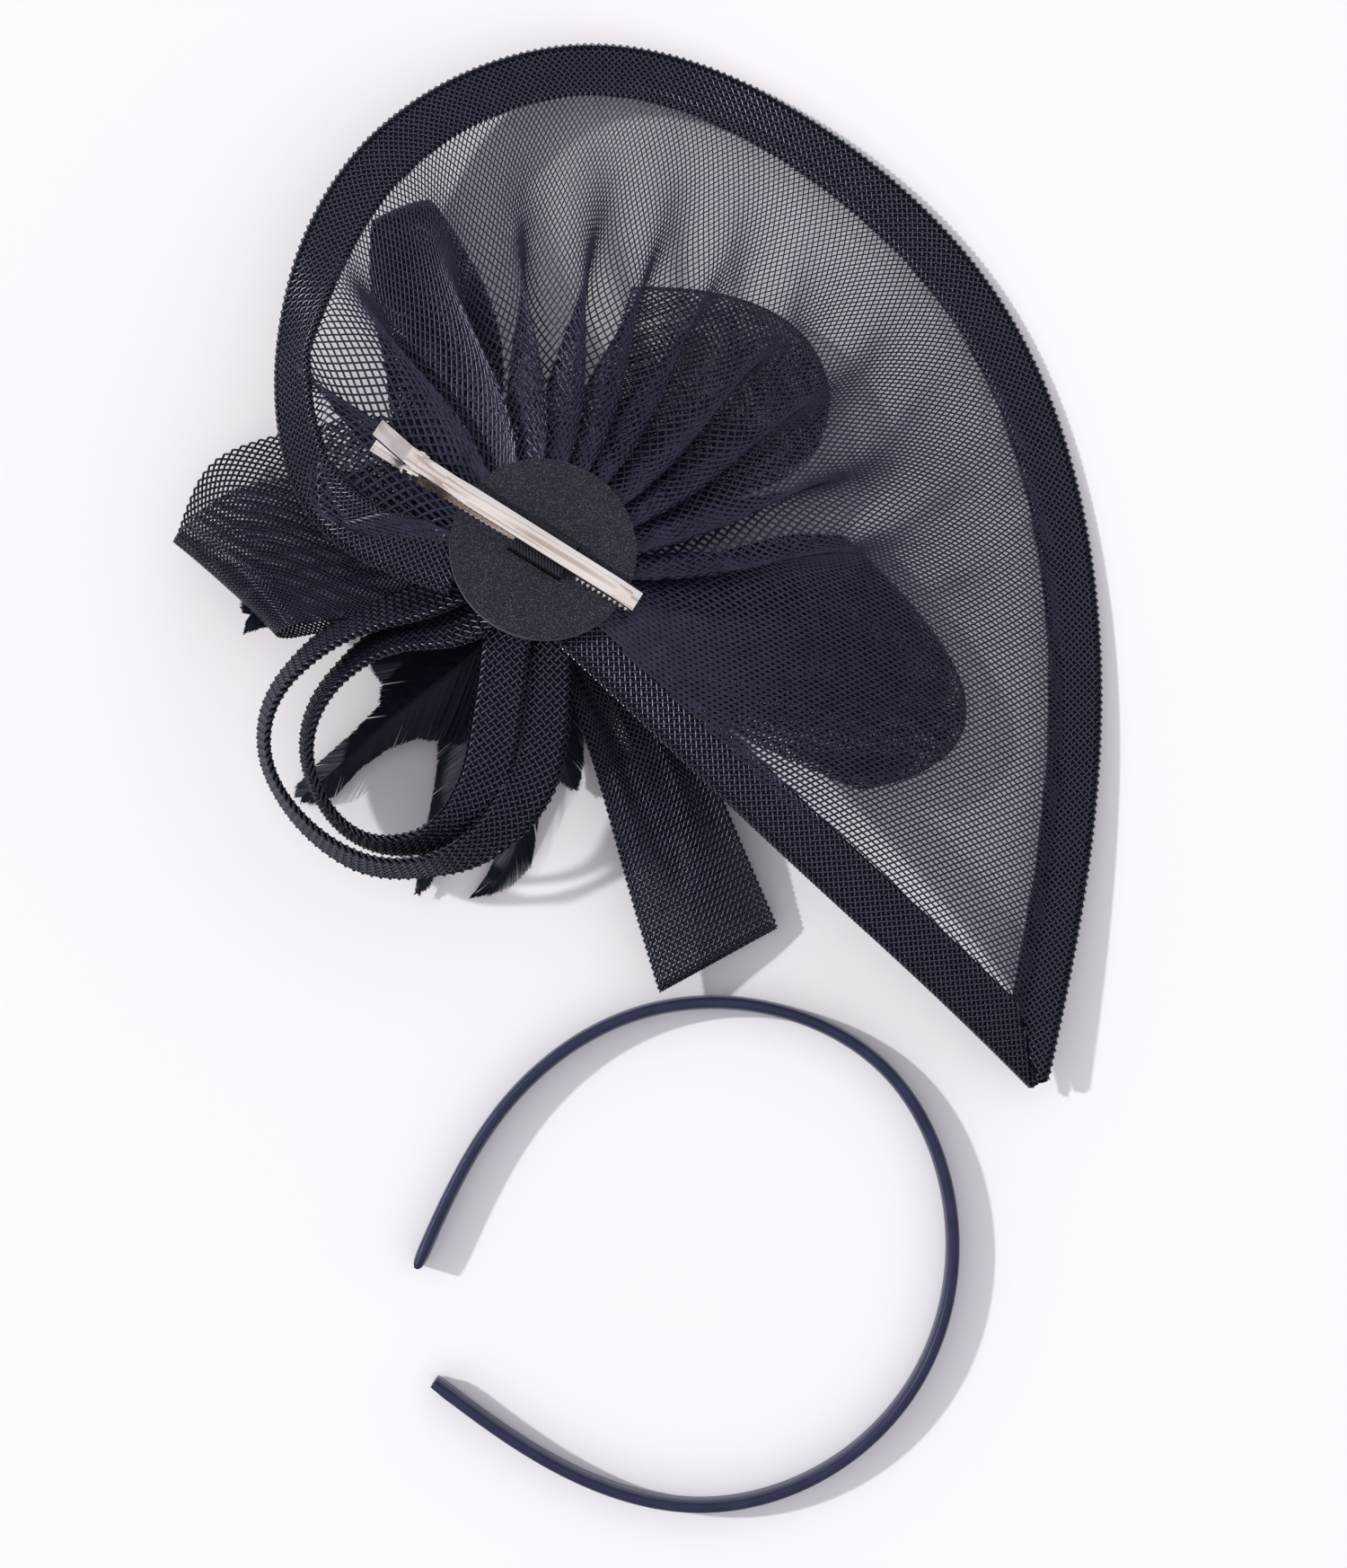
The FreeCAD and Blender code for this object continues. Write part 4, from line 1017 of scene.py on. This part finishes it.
knot_cloth = Cloth()
ring_at = np.linspace(0, KNOT_ROUND, KNOT_CORNERS + 1)[:-1]
levels = np.linspace(0.4, KNOT_DEEP - 0.4, KNOT_LEVELS)[::-1]
sweep(knot_cloth, np.array([knot_place(ring_at, np.full(KNOT_CORNERS, w), -0.2) for w in levels]))
knot_span = (0, KNOT_ROUND + 1.2, KNOT_EDGE, KNOT_DEEP - KNOT_EDGE)
weave(knot_cloth, knot_place, knot_span, always, (KNOT_PITCH, KNOT_PITCH), BIAS, KNOT_STRAND, KNOT_RISE)
front_knot = finished("front_knot_wrap", knot_cloth, LOOP_CLOTH)

# ---- headband

BAND_ORIGIN = np.array([16.0, -119.0, 0.0])
BAND = Line(
    [(-71.8, -3.8), (-48.2, 38.4), (-18.9, 58.7), (14.4, 61.0), (44.6, 45.8), (61.7, 3.2),
     (52.0, -33.2), (28.1, -55.6), (-1.9, -63.2), (-32.1, -55.6), (-67.5, -32.4)]
)
BAND_TALL, BAND_THICK, SATIN_THICK = 9.0, 3.2, 0.35
BAND_CORNERS, BAND_STATIONS, END_STATIONS = 32, 220, 14
# How squarely the section fills its width and height.
BAND_FULL = 0.55
# The reach of the pinch at the first and last ends, and the width left at their very tips.
FIRST_PINCH, LAST_PINCH = 7.0, 4.0
FIRST_LEFT, LAST_LEFT = 0.42, 0.74
# The last end flares a little at its tip: share of the width, and reach.
FLARE, FLARE_REACH = 0.10, 1.6
# The glued overlap down the inner face: how far it stands out, and where it starts and stops.
OVERLAP_TALL, OVERLAP_FROM, OVERLAP_TO = 0.12, math.pi * 0.86, math.pi * 1.12
# Puckers near each end: share of the width, number and reach.
PUCKER, PUCKER_COUNT, PUCKER_REACH = 0.10, 9, 5.0
# The tips are this share of the band's height.
TIP_TALL = 0.93


def band_to_row(points):
    """Headband points in millimetres, taken to the row frame in metres."""
    return (np.asarray(points) + BAND_ORIGIN) * MM


def band_rings(inset):
    """Sections of the covered band, rounded on its edges and pinched shut at both ends."""
    near_end = np.linspace(0, 8, END_STATIONS)
    even = np.linspace(0, BAND.length, BAND_STATIONS)
    s = np.unique(np.concatenate([even, near_end, BAND.length - near_end]))
    s = np.clip(s, inset, BAND.length - inset)
    middle, across = BAND.at(s), left_of(BAND.along(s))
    to_end = BAND.length - s
    first, last = np.clip(s / FIRST_PINCH, 0, 1), np.clip(to_end / LAST_PINCH, 0, 1)
    pinch = FIRST_LEFT + (1 - FIRST_LEFT) * np.sqrt(1 - (1 - first) ** 2)
    pinch = pinch * (LAST_LEFT + (1 - LAST_LEFT) * last)
    flare = FLARE * np.exp(-((to_end / FLARE_REACH) ** 2))
    a = np.arange(BAND_CORNERS) * 2 * math.pi / BAND_CORNERS
    x = np.sign(np.cos(a)) * np.abs(np.cos(a)) ** BAND_FULL * (BAND_THICK / 2 - inset)
    z = np.sign(np.sin(a)) * np.abs(np.sin(a)) ** BAND_FULL * (BAND_TALL / 2 - inset)
    overlap = OVERLAP_TALL * (a > OVERLAP_FROM) * (a < OVERLAP_TO)
    ends = np.exp(-((s / PUCKER_REACH) ** 2)) + np.exp(-((to_end / PUCKER_REACH) ** 2))
    pucker = PUCKER * ends[:, None] * np.sin(PUCKER_COUNT * a)[None, :]
    wide = x[None, :] * (pinch + flare)[:, None] * (1 + pucker) + overlap * np.sign(x)
    low_tips = TIP_TALL + (1 - TIP_TALL) * np.minimum(first, last)
    tall = z[None, :] * low_tips[:, None] * (1 + 0.4 * pucker)
    flat = middle[:, None] + across[:, None] * wide[..., None]
    return np.concatenate([flat, (tall + BAND_TALL / 2)[..., None]], -1)


band_cloth = Cloth()
sweep(band_cloth, band_rings(0.0))
sweep(band_cloth, band_rings(SATIN_THICK)[::-1])

satin = material(
    "satin", Specular_IOR_Level=0.35, Specular_Tint=NAVY_GLOSS,
    Sheen_Weight=0.15, Sheen_Roughness=0.4, Sheen_Tint=(0.5, 0.55, 0.75, 1.0),
)
tone = noise(satin, 120.0, 3.0)
tint(satin, tone, [(0.3, (0.010, 0.012, 0.036)), (0.7, (0.018, 0.021, 0.056))])
grain = noise(satin, 4200.0, 2.0)
roughen(satin, grain, 0.26, 0.52)
bump(satin, grain, 0.00006, 0.6)
headband = finished("headband_satin", band_cloth, satin, band_to_row)

# ---- materials of the carried-over nodes

felt = material(
    "felt", Specular_IOR_Level=0.1,
    Sheen_Weight=0.25, Sheen_Roughness=0.5, Sheen_Tint=(0.75, 0.8, 1.0, 1.0),
)
specks = noise(felt, 2500.0, 4.0)
FELT_SPECKS = [
    (0.34, (0.008, 0.008, 0.012)),
    (0.52, (0.022, 0.022, 0.032)),
    (0.70, (0.085, 0.085, 0.11)),
]
tint(felt, specks, FELT_SPECKS)
roughen(felt, specks, 0.75, 1.0)
bump(felt, specks, 0.0004, 1.0)

strap = material("strap", Specular_IOR_Level=0.3, Specular_Tint=NAVY_GLOSS)
ribs = node(strap, "ShaderNodeTexWave", Scale=420.0, Distortion=0.6, Detail=1.0)
place_of = node(strap, "ShaderNodeTexCoord")
link(strap, place_of.outputs["Object"], ribs.inputs["Vector"])
tint(strap, ribs.outputs["Fac"], [(0.2, (0.004, 0.004, 0.006)), (0.8, (0.014, 0.014, 0.02))])
roughen(strap, ribs.outputs["Fac"], 0.3, 0.5)
bump(strap, ribs.outputs["Fac"], 0.00012, 0.8)

# Rolled steel strip keeps faint ripples along its length.
CLIP_HEADING = math.radians(-30.5)
nickel = material("nickel", Metallic=1.0)
smear = noise(nickel, 60.0, 2.0)
tint(nickel, smear, [(0.3, (0.80, 0.75, 0.71)), (0.7, (0.88, 0.85, 0.82))])
roughen(nickel, smear, 0.08, 0.16)
ripple = noise(nickel, 300.0, 0.0, 40.0, CLIP_HEADING)
bump(nickel, ripple, 0.0006, 1.0)

sewing = material("sewing_thread", Specular_IOR_Level=0.3)
twist = node(sewing, "ShaderNodeTexWave", Scale=900.0, Distortion=1.0)
tint(sewing, twist.outputs["Fac"], [(0.2, (0.005, 0.005, 0.007)), (0.8, (0.02, 0.02, 0.025))])
bump(sewing, twist.outputs["Fac"], 0.0001)

plastic = material("band_plastic", Specular_IOR_Level=0.5)
mould = noise(plastic, 500.0, 2.0)
tint(plastic, mould, [(0.3, (0.012, 0.012, 0.014)), (0.7, (0.02, 0.02, 0.022))])
roughen(plastic, mould, 0.35, 0.55)

# The gap between the plastic core and the cloth over it.
CORE_PLAY = 0.06
core_bar = Cloth()
sweep(core_bar, band_rings(SATIN_THICK + CORE_PLAY))
headband_core = finished("headband_core_bar", core_bar, plastic, band_to_row)

NODE_MATERIALS = {
    "felt_base": felt,
    "fabric_strap": strap,
    "clip_lower_jaw": nickel,
    "clip_upper_jaw": nickel,
    "clip_pivot_pin": nickel,
    "clip_spring": nickel,
    "centre_stitching": sewing,
}
for node_name, made in NODE_MATERIALS.items():
    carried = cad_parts[node_name]
    if not carried.material_slots:
        carried.data.materials.append(made)
    for place_slot in carried.material_slots:
        place_slot.material = made

# ---- what rides and replaces what

FASCINATOR, HEADBAND = "fascinator", "headband"


def stands_for(piece, cad, body):
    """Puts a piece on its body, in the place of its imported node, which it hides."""
    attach(piece, body)
    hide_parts(cad)


stands_for(leaf_mesh, "leaf_mesh", FASCINATOR)
stands_for(rim_binding, "rim_binding", FASCINATOR)
stands_for(lower_binding, "lower_binding", FASCINATOR)
stands_for(front_knot, "front_knot", FASCINATOR)
stands_for(headband, "headband_cover", HEADBAND)
stands_for(headband_core, "headband_core", HEADBAND)
for cad, (piece, _) in loops.items():
    stands_for(piece, cad, FASCINATOR)
for cad, (piece, _) in tapes.items():
    stands_for(piece, cad, FASCINATOR)
for cad, piece in feathers.items():
    stands_for(piece, cad, FASCINATOR)
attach(feather_tuft, FASCINATOR)

boxes = {"cad": CAD_BOX, "visual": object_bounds()}
{k: [list(corner) for corner in box] for k, box in boxes.items()}
